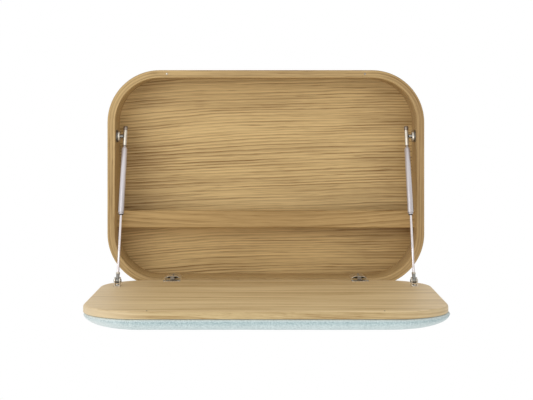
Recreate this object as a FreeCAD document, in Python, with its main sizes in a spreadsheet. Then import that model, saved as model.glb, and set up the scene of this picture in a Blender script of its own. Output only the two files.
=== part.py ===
"""Fold-down wall desk: a rounded oak cabinet with a padded flap that drops to make a writing surface.

Millimetres. +X is the viewer's right, +Y runs into the wall and +Z is up.
The origin lies on the wall plane, in the middle of the wall rail's screw line.
The desk is drawn open, as it is used.
"""
import FreeCAD, Part
import math
import os
import Sketcher

doc = FreeCAD.newDocument("fold_down_wall_desk")

# Driving dimensions, in millimetres
DRIVING_SIZES = {
    # Cabinet
    "carcass_width": "800",
    "carcass_height": "545",
    "carcass_depth": "135",
    "panel_thickness": "19",
    "corner_radius": "132",
    "edge_break": "0.8",
    "rear_recess": "17",
    "back_thickness": "8",
    "rebate_width": "8",
    "back_fit": "0.3",
    "spline_thickness": "4",
    "spline_width": "24",
    "spline_length": "80",
    "spline_setback": "14",
    # Shelf
    "shelf_height": "143",
    "shelf_thickness": "12",
    "lip_height": "44",
    "lip_thickness": "12",
    "lip_setback": "50",
    "lip_round": "2",
    "dowel_radius": "4",
    "dowel_length": "24",
    "dowel_spacing": "26",
    # Rails behind the back panel
    "rail_height": "320",
    "rail_thickness": "16",
    "rail_drop": "30",
    "rail_rise": "18",
    "rail_end_gap": "31",
    "hanging_rail_height": "90",
    "wall_clearance": "1",
    "wall_screw_radius": "2.75",
    "wall_screw_inset": "70",
    "wall_bore_radius": "6",
    "wall_bore_depth": "5",
    "batten_height": "30",
    "batten_width": "32",
    "batten_end_gap": "141",
    # Screws and their pilot holes
    "screw_fit": "0.05",
    "screw_radius": "1.4",
    "screw_head_radius": "2.4",
    "screw_head_height": "1.1",
    "screw_point": "2.5",
    "back_screw_length": "20",
    "level_screw_inset": "68",
    "upright_screw_inset": "50.5",
    "rail_screw_length": "16",
    "rail_screw_height": "62",
    "rail_screw_inset": "50",
    "rail_bore_radius": "4",
    "rail_bore_depth": "5",
    "short_screw_length": "12",
    "plate_screw_length": "17",
    # Flap
    "axis_reach": "11",
    "axis_height": "7",
    "flap_gap": "1.5",
    "flap_thickness": "16",
    "flap_round": "3",
    "pad_thickness": "22",
    "pad_overhang": "4",
    "pad_upper_round": "6",
    "pad_lower_round": "10",
    "fabric_thickness": "1",
    "pad_board_thickness": "8",
    "pad_board_inset": "14",
    # Hinges
    "hinge_inset": "32.5",
    "cup_radius": "17.5",
    "cup_wall": "1.3",
    "cup_floor": "1",
    "cup_depth": "13.5",
    "cup_setback": "19.5",
    "cup_flange_width": "44",
    "cup_flange_near": "5.5",
    "cup_flange_far": "36",
    "cup_flange_round": "5",
    "cup_flange_thickness": "1",
    "cup_screw_x": "19",
    "cup_screw_y": "8",
    "hinge_pin_radius": "1.5",
    "hinge_pin_length": "20.9",
    "arm_width": "10",
    "arm_eye_radius": "2.7",
    "arm_thickness": "4.4",
    "arm_back": "56",
    "plate_width": "43",
    "plate_crown": "21",
    "plate_wall": "1.6",
    "plate_front": "1.5",
    "plate_back": "62",
    "plate_screw_front": "22",
    "plate_screw_pitch": "24",
    # Struts
    "strut_inset": "41",
    "stud_setback": "36",
    "stud_drop": "35",
    "clevis_reach": "120",
    "clevis_pin_height": "13",
    "flange_radius": "15.5",
    "flange_thickness": "5",
    "flange_bevel": "2",
    "flange_screw_z": "10",
    "neck_radius": "4.75",
    "pivot_gap": "0.3",
    "running_gap": "0.05",
    "socket_radius": "5.15",
    "socket_above": "26",
    "socket_below": "27",
    "knob_radius": "6",
    "knob_length": "5",
    "knob_waist": "3",
    "ball_radius": "3.6",
    "ball_gap": "0.1",
    "ball_neck_radius": "2.6",
    "tube_radius": "7",
    "tube_wall": "1.2",
    "tube_start": "32",
    "tube_shoulder": "4",
    "tube_end_wall": "6",
    "tube_length": "178",
    "stub_radius": "2.5",
    "stub_insert": "7",
    "guide_length": "9",
    "guide_ring": "5",
    "guide_ring_radius": "5.6",
    "rod_radius": "3",
    "rod_insert": "8",
    "piston_length": "8",
    "piston_gap": "0.1",
    "piston_setback": "3",
    "eye_radius": "6",
    "eye_width": "9",
    "eye_shank_radius": "4.2",
    "eye_shank_length": "15",
    "nut_radius": "5",
    "nut_length": "4.5",
    "clevis_pin_radius": "2.5",
    "clevis_head_radius": "4",
    "clevis_head_thickness": "1.3",
    "bracket_width": "14.6",
    "bracket_ear": "2.4",
    "bracket_base": "2.5",
    "bracket_length": "29",
    "bracket_ear_radius": "9",
    "bracket_screw_y": "11.75",
    # Catches
    "catch_inset": "18",
    "magnet_radius": "2.8",
    "magnet_length": "12",
    "catch_fit": "0.05",
    "strike_radius": "1.4",
    "strike_length": "9",
    "strike_head_radius": "2",
    "strike_head_height": "0.8",
}


# Lengths that carry the sheet expression they come from
class Length:
    """A length with its value and the sheet expression that gives it."""

    def __init__(self, value, text):
        self.value = value
        self.text = text

    def __add__(self, other):
        other = as_length(other)
        return Length(self.value + other.value, f"({self.text} + {other.text})")

    def __sub__(self, other):
        other = as_length(other)
        return Length(self.value - other.value, f"({self.text} - {other.text})")

    def __mul__(self, other):
        other = as_length(other)
        return Length(self.value * other.value, f"({self.text} * {other.text})")

    def __truediv__(self, other):
        other = as_length(other)
        return Length(self.value / other.value, f"({self.text} / {other.text})")

    def __radd__(self, other):
        return as_length(other) + self

    def __rsub__(self, other):
        return as_length(other) - self

    def __rmul__(self, other):
        return as_length(other) * self

    def __neg__(self):
        return Length(-self.value, f"(0 - {self.text})")


def as_length(number):
    """Turn a plain number into a Length, and leave a Length as it is."""
    return number if isinstance(number, Length) else Length(float(number), f"{number}")


def hypotenuse(across, along):
    """Length of the line that runs across and along by these amounts."""
    return Length(
        math.hypot(across.value, along.value),
        f"sqrt({across.text} * {across.text} + {along.text} * {along.text})",
    )


def other_leg(longest, leg):
    """Second leg of a right triangle, from its longest side and its first leg."""
    return Length(
        math.sqrt(longest.value ** 2 - leg.value ** 2),
        f"sqrt({longest.text} * {longest.text} - {leg.text} * {leg.text})",
    )


def lean_angle(across, along):
    """Angle in degrees of a line that runs across while it runs along."""
    return Length(
        math.degrees(math.atan2(across.value, along.value)),
        f"atan2({across.text}; {along.text})",
    )


class Sizes:
    """Puts the driving dimensions in a sheet and gives each one back as a Length."""

    def __init__(self, values):
        self.sheet = doc.addObject("Spreadsheet::Sheet", "Sizes")
        for row, (alias, text) in enumerate(values.items(), start=1):
            self.sheet.set(f"A{row}", alias)
            self.sheet.set(f"B{row}", text)
            self.sheet.setAlias(f"B{row}", alias)
        doc.recompute()

    def __getattr__(self, alias):
        return Length(float(self.sheet.get(alias)), f"Sizes.{alias}")


size = Sizes(DRIVING_SIZES)
SIDES = (("left", -1), ("right", 1))
ENDS = (-1, 1)
QUARTER_TURN = 90
finished = []

# Places worked out from the driving dimensions
half_width = size.carcass_width / 2
inner_half_width = half_width - size.panel_thickness
front = -size.carcass_depth
underside = -size.rail_height
top = underside + size.carcass_height
floor = underside + size.panel_thickness
corner_x = half_width - size.corner_radius
corner_z = {-1: underside + size.corner_radius, 1: top - size.corner_radius}
panel_middle = size.panel_thickness / 2
back_rear = -size.rear_recess
back_face = back_rear - size.back_thickness
rail_half = inner_half_width - size.rail_end_gap
wall_screw_x = rail_half - size.wall_screw_inset
rail_screw_x = rail_half - size.rail_screw_inset
batten_half = inner_half_width - size.batten_end_gap
hinge_x = corner_x - size.hinge_inset
catch_x = corner_x - size.catch_inset
shelf_low = underside + size.shelf_height
shelf_middle = shelf_low + size.shelf_thickness / 2
shelf_front = front + size.lip_setback + size.lip_thickness
shelf_centre = (shelf_front + back_face) / 2
axis_y = front - size.axis_reach
axis_z = underside + size.axis_height
desk_top = axis_z + size.axis_reach - size.flap_gap
flap_rear = axis_y + size.axis_height
flap_front = flap_rear - size.carcass_height
flap_under = desk_top - size.flap_thickness
strut_x = half_width - size.strut_inset
upper_y = front + size.stud_setback
upper_z = corner_z[1] - size.stud_drop
lower_y = axis_y - size.clevis_reach
lower_z = desk_top + size.clevis_pin_height
strut_length = hypotenuse(upper_y - lower_y, upper_z - lower_z)
strut_lean = lean_angle(lower_y - upper_y, upper_z - lower_z)
tube_end = size.tube_start + size.tube_length
pilot_radius = size.screw_radius + size.screw_fit


def outer_face(up):
    """Height of the carcass's outer face, above or below."""
    return top if up > 0 else underside


# Hole patterns that more than one sub-part shares
level_holes = {
    up: [
        (
            (corner_x - size.level_screw_inset) * side,
            outer_face(up) - (size.panel_thickness - size.rebate_width / 2) * up,
        )
        for side in ENDS
    ]
    for up in ENDS
}
upright_holes = {
    side: [
        (
            (inner_half_width + size.rebate_width / 2) * side,
            corner_z[up] - size.upright_screw_inset * up,
        )
        for up in ENDS
    ]
    for side in ENDS
}
back_holes = level_holes[-1] + level_holes[1] + upright_holes[-1] + upright_holes[1]
rail_holes = [
    (rail_screw_x * (step + step - 3) / 3, size.rail_screw_height) for step in range(4)
]
dowel_holes = [(shelf_centre + size.dowel_spacing / 2 * end, shelf_middle) for end in ENDS]
plate_screw_y = [
    front + size.plate_screw_front,
    front + size.plate_screw_front + size.plate_screw_pitch,
]
cup_y = flap_rear - size.cup_setback
cup_screws = [
    (hinge_x * side + size.cup_screw_x * end, cup_y - size.cup_screw_y)
    for side in ENDS
    for end in ENDS
]
bracket_screws = [
    (strut_x * side, lower_y + size.bracket_screw_y * end) for side in ENDS for end in ENDS
]
catch_z = top - panel_middle
strikes = [(catch_x * side, axis_y - (catch_z - axis_z)) for side in ENDS]


# Sketches and features
def bind(thing, path, value):
    """Tie one property to the sheet."""
    thing.setExpression(path, as_length(value).text)


def new_body(label):
    """Start a sub-part."""
    body = doc.addObject("PartDesign::Body", label)
    body.Label = label
    return body


def new_sketch(body, role, at=0):
    """Put an empty sketch on one of the body's planes, at a coordinate along that plane's axis."""
    sketch = body.newObject("Sketcher::SketchObject", body.Label + "_sketch")
    plane = next(f for f in body.Origin.OriginFeatures if f.Role == role)
    sketch.AttachmentSupport = (plane, [""])
    sketch.MapMode = "FlatFace"
    offset = -as_length(at) if role == "XZ_Plane" else as_length(at)
    bind(sketch, "AttachmentOffset.Base.z", offset)
    return sketch


def dimension(sketch, kind, places, value):
    """Add one constraint that follows the sheet."""
    value = as_length(value)
    index = sketch.addConstraint(Sketcher.Constraint(kind, *places, value.value))
    bind(sketch, f"Constraints[{index}]", value)


def pin_point(sketch, curve, end, point):
    """Fix one end of a curve at a point measured from the sketch's origin."""
    dimension(sketch, "DistanceX", (-1, 1, curve, end), point[0])
    dimension(sketch, "DistanceY", (-1, 1, curve, end), point[1])


def vector(point):
    """The point's present place in the sketch."""
    return FreeCAD.Vector(as_length(point[0]).value, as_length(point[1]).value, 0)


def draw_outline(sketch, corners):
    """Draw a closed outline of straight lines."""
    first = sketch.GeometryCount
    count = len(corners)
    for index, corner in enumerate(corners):
        following = corners[(index + 1) % count]
        sketch.addGeometry(Part.LineSegment(vector(corner), vector(following)))
    for index in range(count):
        following = first + (index + 1) % count
        sketch.addConstraint(Sketcher.Constraint("Coincident", first + index, 2, following, 1))
    for index, corner in enumerate(corners):
        pin_point(sketch, first + index, 1, corner)


def draw_rectangle(sketch, low, high):
    """Draw a rectangle from its low corner to its high corner."""
    draw_outline(sketch, [low, (high[0], low[1]), high, (low[0], high[1])])


def draw_circle(sketch, centre, radius):
    """Draw a full circle."""
    circle = Part.Circle(vector(centre), FreeCAD.Vector(0, 0, 1), as_length(radius).value)
    index = sketch.addGeometry(circle)
    pin_point(sketch, index, 3, centre)
    dimension(sketch, "Radius", (index,), radius)


def draw_arc(sketch, centre, radius, start_degrees, before, after):
    """Join the end of one line to the start of another with a quarter circle."""
    circle = Part.Circle(vector(centre), FreeCAD.Vector(0, 0, 1), as_length(radius).value)
    start = math.radians(start_degrees)
    arc = Part.ArcOfCircle(circle, start, start + math.pi / 2)
    index = sketch.addGeometry(arc)
    sketch.addConstraint(Sketcher.Constraint("Coincident", before, 2, index, 1))
    sketch.addConstraint(Sketcher.Constraint("Coincident", index, 2, after, 1))
    dimension(sketch, "Radius", (index,), radius)


def draw_rounded_rectangle(sketch, low, high, radius):
    """Draw a rectangle with four equal round corners."""
    near = (low[0] + radius, low[1] + radius)
    far = (high[0] - radius, high[1] - radius)
    sides = [
        ((near[0], low[1]), (far[0], low[1])),
        ((high[0], near[1]), (high[0], far[1])),
        ((far[0], high[1]), (near[0], high[1])),
        ((low[0], far[1]), (low[0], near[1])),
    ]
    first = sketch.GeometryCount
    for index, (start, end) in enumerate(sides):
        sketch.addGeometry(Part.LineSegment(vector(start), vector(end)))
        pin_point(sketch, first + index, 1, start)
        pin_point(sketch, first + index, 2, end)
    centres = [(far[0], near[1]), far, (near[0], far[1]), near]
    for index, centre in enumerate(centres):
        following = first + (index + 1) % len(sides)
        draw_arc(sketch, centre, radius, QUARTER_TURN * (index - 1), first + index, following)


def pad(body, sketch, depth, both_ways=False):
    """Extrude a sketch along its normal, or half each way."""
    feature = body.newObject("PartDesign::Pad", body.Label + "_pad")
    feature.Profile = sketch
    feature.SideType = "Symmetric" if both_ways else "One side"
    bind(feature, "Length", depth)
    doc.recompute()
    return feature


def cut(body, sketch, depth):
    """Cut a sketch half the depth each way from its plane."""
    feature = body.newObject("PartDesign::Pocket", body.Label + "_cut")
    feature.Profile = sketch
    feature.SideType = "Symmetric"
    bind(feature, "Length", depth)
    doc.recompute()
    return feature


def bore(body, role, middle, depth, centres, radius):
    """Cut round holes whose mid-depth lies at one coordinate along a plane's axis."""
    sketch = new_sketch(body, role, middle)
    for centre in centres:
        draw_circle(sketch, centre, radius)
    return cut(body, sketch, depth)


def revolve(body, sketch, degrees=360, reverse=False):
    """Turn a sketch about its own upright axis."""
    feature = body.newObject("PartDesign::Revolution", body.Label + "_turn")
    feature.Profile = sketch
    feature.ReferenceAxis = (sketch, ["V_Axis"])
    feature.Angle = degrees
    feature.Reversed = reverse
    doc.recompute()
    return feature


def turned(label, outline):
    """Make a sub-part from a (radius, height) outline turned about its own Z axis."""
    body = new_body(label)
    sketch = new_sketch(body, "XZ_Plane")
    draw_outline(sketch, outline)
    revolve(body, sketch)
    return body


def round_edges(body, radius, wanted):
    """Round every edge of the body that the wanted test picks."""
    tip = body.Tip
    names = [f"Edge{i}" for i, edge in enumerate(tip.Shape.Edges, start=1) if wanted(edge)]
    feature = body.newObject("PartDesign::Fillet", body.Label + "_round")
    feature.Base = (tip, names)
    bind(feature, "Radius", radius)
    doc.recompute()
    return feature


def edge_height_test(height):
    """Pick the edges that lie wholly at one height."""
    level = as_length(height).value

    def lies_level(edge):
        return all(abs(vertex.Z - level) < 1e-6 for vertex in edge.Vertexes)

    return lies_level


def place(thing, point, axis=(1, 0, 0), degrees=0):
    """Move a finished sub-part to a point, turned about an axis."""
    turn = FreeCAD.Rotation(FreeCAD.Vector(*axis), as_length(degrees).value)
    thing.Placement = FreeCAD.Placement(FreeCAD.Vector(), turn)
    for name, value in zip("xyz", point):
        bind(thing, f"Placement.Base.{name}", value)
    if isinstance(degrees, Length):
        bind(thing, "Placement.Rotation.Angle", degrees)


def finish(thing):
    """Note a sub-part that is ready to be written."""
    finished.append(thing)
    return thing


def copies(label, master, places):
    """Group equal copies of one piece, each at its own (point, axis, degrees)."""
    links = []
    for point, axis, degrees in places:
        link = doc.addObject("App::Link", label + "_copy")
        link.LinkedObject = master
        place(link, point, axis, degrees)
        links.append(link)
    group = doc.addObject("Part::Compound", label)
    group.Label = label
    group.Links = links
    return finish(group)


def joined(kind, label, base, tool):
    """Combine two shapes into one sub-part."""
    result = doc.addObject(kind, label)
    result.Label = label
    result.Base = base
    result.Tool = tool
    return result


def screw(label, length):
    """A pan-head wood screw that sits on Z zero and points down."""
    head = size.screw_head_radius
    high = size.screw_head_height
    shank = size.screw_radius
    return turned(
        label,
        [
            (0, -length),
            (shank, size.screw_point - length),
            (shank, 0),
            (head, 0),
            (head, high / 2),
            (head / 2, high),
            (0, high),
        ],
    )


# Carcass
def panel_profile(inward_to_place):
    """Cross-section of the carcass board, rebated at the back for the back panel."""
    thick = size.panel_thickness
    corner = size.edge_break
    rebate = thick - size.rebate_width
    points = [
        (corner, front),
        (thick - corner, front),
        (thick, front + corner),
        (thick, back_face),
        (rebate, back_face),
        (rebate, 0),
        (0, 0),
        (0, front + corner),
    ]
    return [inward_to_place(inward, along) for inward, along in points]


spline_y = (front + size.spline_setback, front + size.spline_setback + size.spline_length)
spline_inward = (panel_middle - size.spline_thickness / 2, panel_middle + size.spline_thickness / 2)


def level_spline_slot(body, side, up):
    """Slot for the spline between a corner and the top or bottom panel."""
    sketch = new_sketch(body, "YZ_Plane", corner_x * side)
    levels = [outer_face(up) - inward * up for inward in spline_inward]
    levels.sort(key=lambda level: level.value)
    draw_rectangle(sketch, (spline_y[0], levels[0]), (spline_y[1], levels[1]))
    cut(body, sketch, size.spline_width)


def upright_spline_slot(body, side, up):
    """Slot for the spline between a corner and a side panel."""
    sketch = new_sketch(body, "XY_Plane", corner_z[up])
    widths = [(half_width - inward) * side for inward in spline_inward]
    widths.sort(key=lambda width: width.value)
    draw_rectangle(sketch, (widths[0], spline_y[0]), (widths[1], spline_y[1]))
    cut(body, sketch, size.spline_width)


def level_panel(label, up):
    """Top or bottom board of the carcass."""
    body = new_body(label)
    sketch = new_sketch(body, "YZ_Plane")
    face = outer_face(up)
    draw_outline(sketch, panel_profile(lambda inward, along: (along, face - inward * up)))
    pad(body, sketch, corner_x * 2, both_ways=True)
    for side in ENDS:
        level_spline_slot(body, side, up)
    reach = size.back_screw_length - size.back_thickness
    bore(body, "XZ_Plane", back_face - reach / 2, reach, level_holes[up], pilot_radius)
    return finish(body)


def upright_panel(label, side):
    """Side board of the carcass."""
    body = new_body(label)
    sketch = new_sketch(body, "XY_Plane", corner_z[-1])
    draw_outline(sketch, panel_profile(lambda inward, along: ((half_width - inward) * side, along)))
    pad(body, sketch, corner_z[1] - corner_z[-1])
    for up in ENDS:
        upright_spline_slot(body, side, up)
    reach = size.back_screw_length - size.back_thickness
    bore(body, "XZ_Plane", back_face - reach / 2, reach, upright_holes[side], pilot_radius)
    bore(body, "YZ_Plane", inner_half_width * side, size.dowel_length, dowel_holes, size.dowel_radius)
    depth = size.short_screw_length - size.flange_thickness
    holes = [(upper_y, upper_z + size.flange_screw_z * up) for up in ENDS]
    bore(body, "YZ_Plane", (inner_half_width + depth / 2) * side, depth, holes, pilot_radius)
    return finish(body)


def corner_piece(label, side, up):
    """Bent quarter-round corner, with the same cross-section as the boards."""
    body = new_body(label)
    sketch = new_sketch(body, "XY_Plane", corner_z[up])
    bind(sketch, "AttachmentOffset.Base.x", corner_x * side)
    radius = size.corner_radius
    draw_outline(sketch, panel_profile(lambda inward, along: ((radius - inward) * side, along)))
    revolve(body, sketch, QUARTER_TURN, reverse=side * up > 0)
    level_spline_slot(body, side, up)
    upright_spline_slot(body, side, up)
    return finish(body)


def spline_box(low, sizes):
    """One loose tongue, from its low corner and its three sizes."""
    box = doc.addObject("Part::Box", "spline")
    for name, value in zip(("Length", "Width", "Height"), sizes):
        bind(box, name, value)
    place(box, low)
    return box


def corner_splines():
    """Loose tongues that align the corners with the boards."""
    group = doc.addObject("Part::Compound", "corner_splines")
    group.Label = "corner_splines"
    boxes = []
    thick = size.spline_thickness
    for side in ENDS:
        for up in ENDS:
            across = corner_x * side - size.spline_width / 2
            level = outer_face(up) - panel_middle * up - thick / 2
            sizes = (size.spline_width, size.spline_length, thick)
            boxes.append(spline_box((across, spline_y[0], level), sizes))
            across = (half_width - panel_middle) * side - thick / 2
            level = corner_z[up] - size.spline_width / 2
            sizes = (thick, size.spline_length, size.spline_width)
            boxes.append(spline_box((across, spline_y[0], level), sizes))
    group.Links = boxes
    return finish(group)


def back_panel():
    """Back board, let into the carcass rebate and screwed from behind."""
    body = new_body("back_panel")
    lap = size.rebate_width - size.back_fit
    across = inner_half_width + lap
    low = floor - lap
    high = top - size.panel_thickness + lap
    radius = size.corner_radius - size.panel_thickness + lap
    sketch = new_sketch(body, "XZ_Plane", back_rear)
    draw_rounded_rectangle(sketch, (-across, low), (across, high), radius)
    pad(body, sketch, size.back_thickness)
    middle = (back_rear + back_face) / 2
    bore(body, "XZ_Plane", middle, size.back_thickness, back_holes, pilot_radius)
    grip = size.rail_screw_length + size.rail_bore_depth + size.wall_clearance - size.rear_recess
    bore(body, "XZ_Plane", back_rear - grip / 2, grip, rail_holes, pilot_radius)
    return finish(body)


def shelf_board():
    """Floor of the letter pocket."""
    body = new_body("shelf_board")
    sketch = new_sketch(body, "XY_Plane", shelf_low)
    draw_rectangle(sketch, (-inner_half_width, shelf_front), (inner_half_width, back_face))
    pad(body, sketch, size.shelf_thickness)
    for side in ENDS:
        where = inner_half_width * side
        bore(body, "YZ_Plane", where, size.dowel_length, dowel_holes, size.dowel_radius)
    return finish(body)


def shelf_lip():
    """Upright front board of the letter pocket."""
    body = new_body("shelf_lip")
    near = front + size.lip_setback
    low = shelf_low
    high = low + size.lip_height
    ease = size.lip_round
    sketch = new_sketch(body, "YZ_Plane")
    draw_outline(
        sketch,
        [
            (near + ease, low),
            (shelf_front, low),
            (shelf_front, high - ease),
            (shelf_front - ease, high),
            (near + ease, high),
            (near, high - ease),
            (near, low + ease),
        ],
    )
    pad(body, sketch, inner_half_width * 2, both_ways=True)
    return finish(body)


def shelf_dowels():
    """Dowels between the shelf and the side boards."""
    body = turned(
        "dowel",
        [
            (0, -size.dowel_length / 2),
            (size.dowel_radius, -size.dowel_length / 2),
            (size.dowel_radius, size.dowel_length / 2),
            (0, size.dowel_length / 2),
        ],
    )
    places = [
        ((inner_half_width * side, hole[0], hole[1]), (0, 1, 0), QUARTER_TURN)
        for side in ENDS
        for hole in dowel_holes
    ]
    return copies("shelf_dowels", body, places)


# Rails that hang the cabinet
def wall_rail():
    """Bevelled rail that is screwed to the wall first."""
    body = new_body("wall_rail")
    sketch = new_sketch(body, "YZ_Plane")
    thick = size.rail_thickness
    rise = size.rail_rise
    draw_outline(
        sketch,
        [(-thick, -size.rail_drop), (0, -size.rail_drop), (0, rise), (-thick, rise + thick)],
    )
    pad(body, sketch, rail_half * 2, both_ways=True)
    holes = [(wall_screw_x * side, 0) for side in ENDS]
    bore(body, "XZ_Plane", -thick / 2, thick, holes, size.wall_screw_radius)
    middle = size.wall_bore_depth / 2 - thick
    bore(body, "XZ_Plane", middle, size.wall_bore_depth, holes, size.wall_bore_radius)
    return finish(body)


def hanging_rail():
    """Matching bevelled rail on the cabinet, which hooks over the wall rail."""
    body = new_body("hanging_rail")
    sketch = new_sketch(body, "YZ_Plane")
    rear = -size.wall_clearance
    draw_outline(
        sketch,
        [
            (back_rear, size.rail_rise - back_rear),
            (rear, size.rail_rise - rear),
            (rear, size.hanging_rail_height),
            (back_rear, size.hanging_rail_height),
        ],
    )
    pad(body, sketch, rail_half * 2, both_ways=True)
    middle = (rear + back_rear) / 2
    bore(body, "XZ_Plane", middle, rear - back_rear, rail_holes, pilot_radius)
    middle = rear - size.rail_bore_depth / 2
    bore(body, "XZ_Plane", middle, size.rail_bore_depth, rail_holes, size.rail_bore_radius)
    return finish(body)


def spacer_batten():
    """Batten that keeps the lower back panel off the wall."""
    body = new_body("spacer_batten")
    low = underside + size.batten_height
    sketch = new_sketch(body, "YZ_Plane")
    draw_rectangle(sketch, (back_rear, low), (0, low + size.batten_width))
    pad(body, sketch, batten_half * 2, both_ways=True)
    return finish(body)


def cabinet_screws():
    """Screws of the back panel and of the hanging rail, all driven from behind."""
    forward = ((1, 0, 0), -QUARTER_TURN)
    places = [((hole[0], back_rear, hole[1]), *forward) for hole in back_holes]
    copies("back_panel_screws", screw("back_screw", size.back_screw_length), places)
    seat = -size.wall_clearance - size.rail_bore_depth
    places = [((hole[0], seat, hole[1]), *forward) for hole in rail_holes]
    copies("rail_screws", screw("rail_screw", size.rail_screw_length), places)


# Flap
def flap_panel():
    """Oak writing board, as large as the cabinet's front."""
    body = new_body("flap_panel")
    sketch = new_sketch(body, "XY_Plane", flap_under)
    draw_rounded_rectangle(
        sketch, (-half_width, flap_front), (half_width, flap_rear), size.corner_radius
    )
    pad(body, sketch, size.flap_thickness)
    round_edges(body, size.flap_round, edge_height_test(desk_top))
    cups = [(hinge_x * side, cup_y) for side in ENDS]
    bore(body, "XY_Plane", desk_top - size.cup_depth / 2, size.cup_depth, cups, size.cup_radius)
    depth = size.short_screw_length
    holes = cup_screws + bracket_screws
    bore(body, "XY_Plane", desk_top - depth / 2, depth, holes, pilot_radius)
    depth = size.strike_length
    bore(body, "XY_Plane", desk_top - depth / 2, depth, strikes, size.strike_radius + size.catch_fit)
    return finish(body)


def pad_form(label, inset, upper_round, lower_round):
    """Rounded form of the padded front, drawn in from the fabric's outside by the inset."""
    body = new_body(label)
    grow = size.pad_overhang - inset
    low = (-half_width - grow, flap_front - grow)
    high = (half_width + grow, flap_rear + grow)
    base = flap_under - size.pad_thickness + inset
    sketch = new_sketch(body, "XY_Plane", base)
    draw_rounded_rectangle(sketch, low, high, size.corner_radius + grow)
    pad(body, sketch, size.pad_thickness - inset * 2)
    round_edges(body, upper_round, edge_height_test(flap_under - inset))
    round_edges(body, lower_round, edge_height_test(base))
    return body


def board_form(label, inset, depth):
    """Flat rounded block under the flap board, set in from its outline."""
    body = new_body(label)
    low = (inset - half_width, flap_front + inset)
    high = (half_width - inset, flap_rear - inset)
    sketch = new_sketch(body, "XY_Plane", flap_under - depth)
    draw_rounded_rectangle(sketch, low, high, size.corner_radius - inset)
    pad(body, sketch, depth)
    return body


def padded_front():
    """Pad board, foam and the fabric that wraps them, on the outer face of the flap."""
    upper = size.pad_upper_round
    lower = size.pad_lower_round
    skin = size.fabric_thickness
    board = finish(board_form("pad_board", size.pad_board_inset, size.pad_board_thickness))
    stuffing = pad_form("pad_inside", skin, upper - skin, lower - skin)
    foam = joined("Part::Cut", "pad_foam", stuffing, board)
    finish(foam)
    outside = pad_form("pad_outside", 0, upper, lower)
    hollow = pad_form("pad_hollow", skin, upper - skin, lower - skin)
    shell = joined("Part::Cut", "fabric_shell", outside, hollow)
    opening = board_form("fabric_opening", size.pad_board_inset, skin)
    finish(joined("Part::Cut", "fabric_cover", shell, opening))


# Hinges
def hinge_cup(side_name, side):
    """Cup let into the flap, with a thin flange on the writing face."""
    body = new_body(side_name + "_hinge_cup")
    middle = hinge_x * side
    sketch = new_sketch(body, "XY_Plane", desk_top - size.cup_depth)
    draw_circle(sketch, (middle, cup_y), size.cup_radius)
    pad(body, sketch, size.cup_depth)
    sketch = new_sketch(body, "XY_Plane", desk_top)
    half = size.cup_flange_width / 2
    low = (middle - half, flap_rear - size.cup_flange_far)
    high = (middle + half, flap_rear - size.cup_flange_near)
    draw_rounded_rectangle(sketch, low, high, size.cup_flange_round)
    pad(body, sketch, size.cup_flange_thickness)
    inner = size.cup_radius - size.cup_wall
    hollow = size.cup_depth - size.cup_floor + size.cup_flange_thickness
    level = desk_top + size.cup_flange_thickness - hollow / 2
    bore(body, "XY_Plane", level, hollow, [(middle, cup_y)], inner)
    pin = size.hinge_pin_radius
    bore(body, "YZ_Plane", middle, size.hinge_pin_length, [(axis_y, axis_z)], pin)
    holes = [hole for hole in cup_screws if hole[0].value * side > 0]
    level = desk_top + size.cup_flange_thickness / 2
    bore(body, "XY_Plane", level, size.cup_flange_thickness, holes, pilot_radius)
    return finish(body)


def hinge_pin(side_name, side):
    """Steel pin across the cup, on the flap's turning axis."""
    body = new_body(side_name + "_hinge_pin")
    sketch = new_sketch(body, "YZ_Plane", hinge_x * side)
    draw_circle(sketch, (axis_y, axis_z), size.hinge_pin_radius)
    pad(body, sketch, size.hinge_pin_length, both_ways=True)
    return finish(body)


def hinge_arm(side_name, side):
    """Cranked arm from the cabinet floor to an eye on the hinge pin."""
    body = new_body(side_name + "_hinge_arm")
    middle = hinge_x * side
    eye = size.arm_eye_radius
    high = floor + size.arm_thickness
    rear = front + size.arm_back
    sketch = new_sketch(body, "YZ_Plane", middle)
    draw_outline(
        sketch,
        [
            (axis_y - eye, axis_z),
            (axis_y + eye, axis_z),
            (axis_y + eye, floor),
            (rear, floor),
            (rear, high),
            (axis_y + eye - size.arm_thickness, high),
            (axis_y - eye, floor),
        ],
    )
    pad(body, sketch, size.arm_width, both_ways=True)
    sketch = new_sketch(body, "YZ_Plane", middle)
    draw_circle(sketch, (axis_y, axis_z), eye)
    pad(body, sketch, size.arm_width, both_ways=True)
    running = size.hinge_pin_radius + size.running_gap
    bore(body, "YZ_Plane", middle, size.arm_width, [(axis_y, axis_z)], running)
    holes = [(middle, y) for y in plate_screw_y]
    level = floor + size.arm_thickness / 2
    bore(body, "XY_Plane", level, size.arm_thickness, holes, pilot_radius)
    return finish(body)


def hinge_plate(side_name, side):
    """Arched cover plate that clamps the arm to the cabinet floor."""
    body = new_body(side_name + "_hinge_plate")
    middle = hinge_x * side
    wide = size.plate_width / 2
    crown = size.plate_crown / 2
    wall = size.plate_wall
    under = floor + size.arm_thickness
    sketch = new_sketch(body, "XZ_Plane", front + size.plate_back)
    draw_outline(
        sketch,
        [
            (middle - wide, floor),
            (middle - wide + wall, floor),
            (middle - crown + wall, under),
            (middle + crown - wall, under),
            (middle + wide - wall, floor),
            (middle + wide, floor),
            (middle + crown, under + wall),
            (middle - crown, under + wall),
        ],
    )
    pad(body, sketch, size.plate_back - size.plate_front)
    holes = [(middle, y) for y in plate_screw_y]
    bore(body, "XY_Plane", under + wall / 2, wall, holes, pilot_radius)
    return finish(body)


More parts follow.
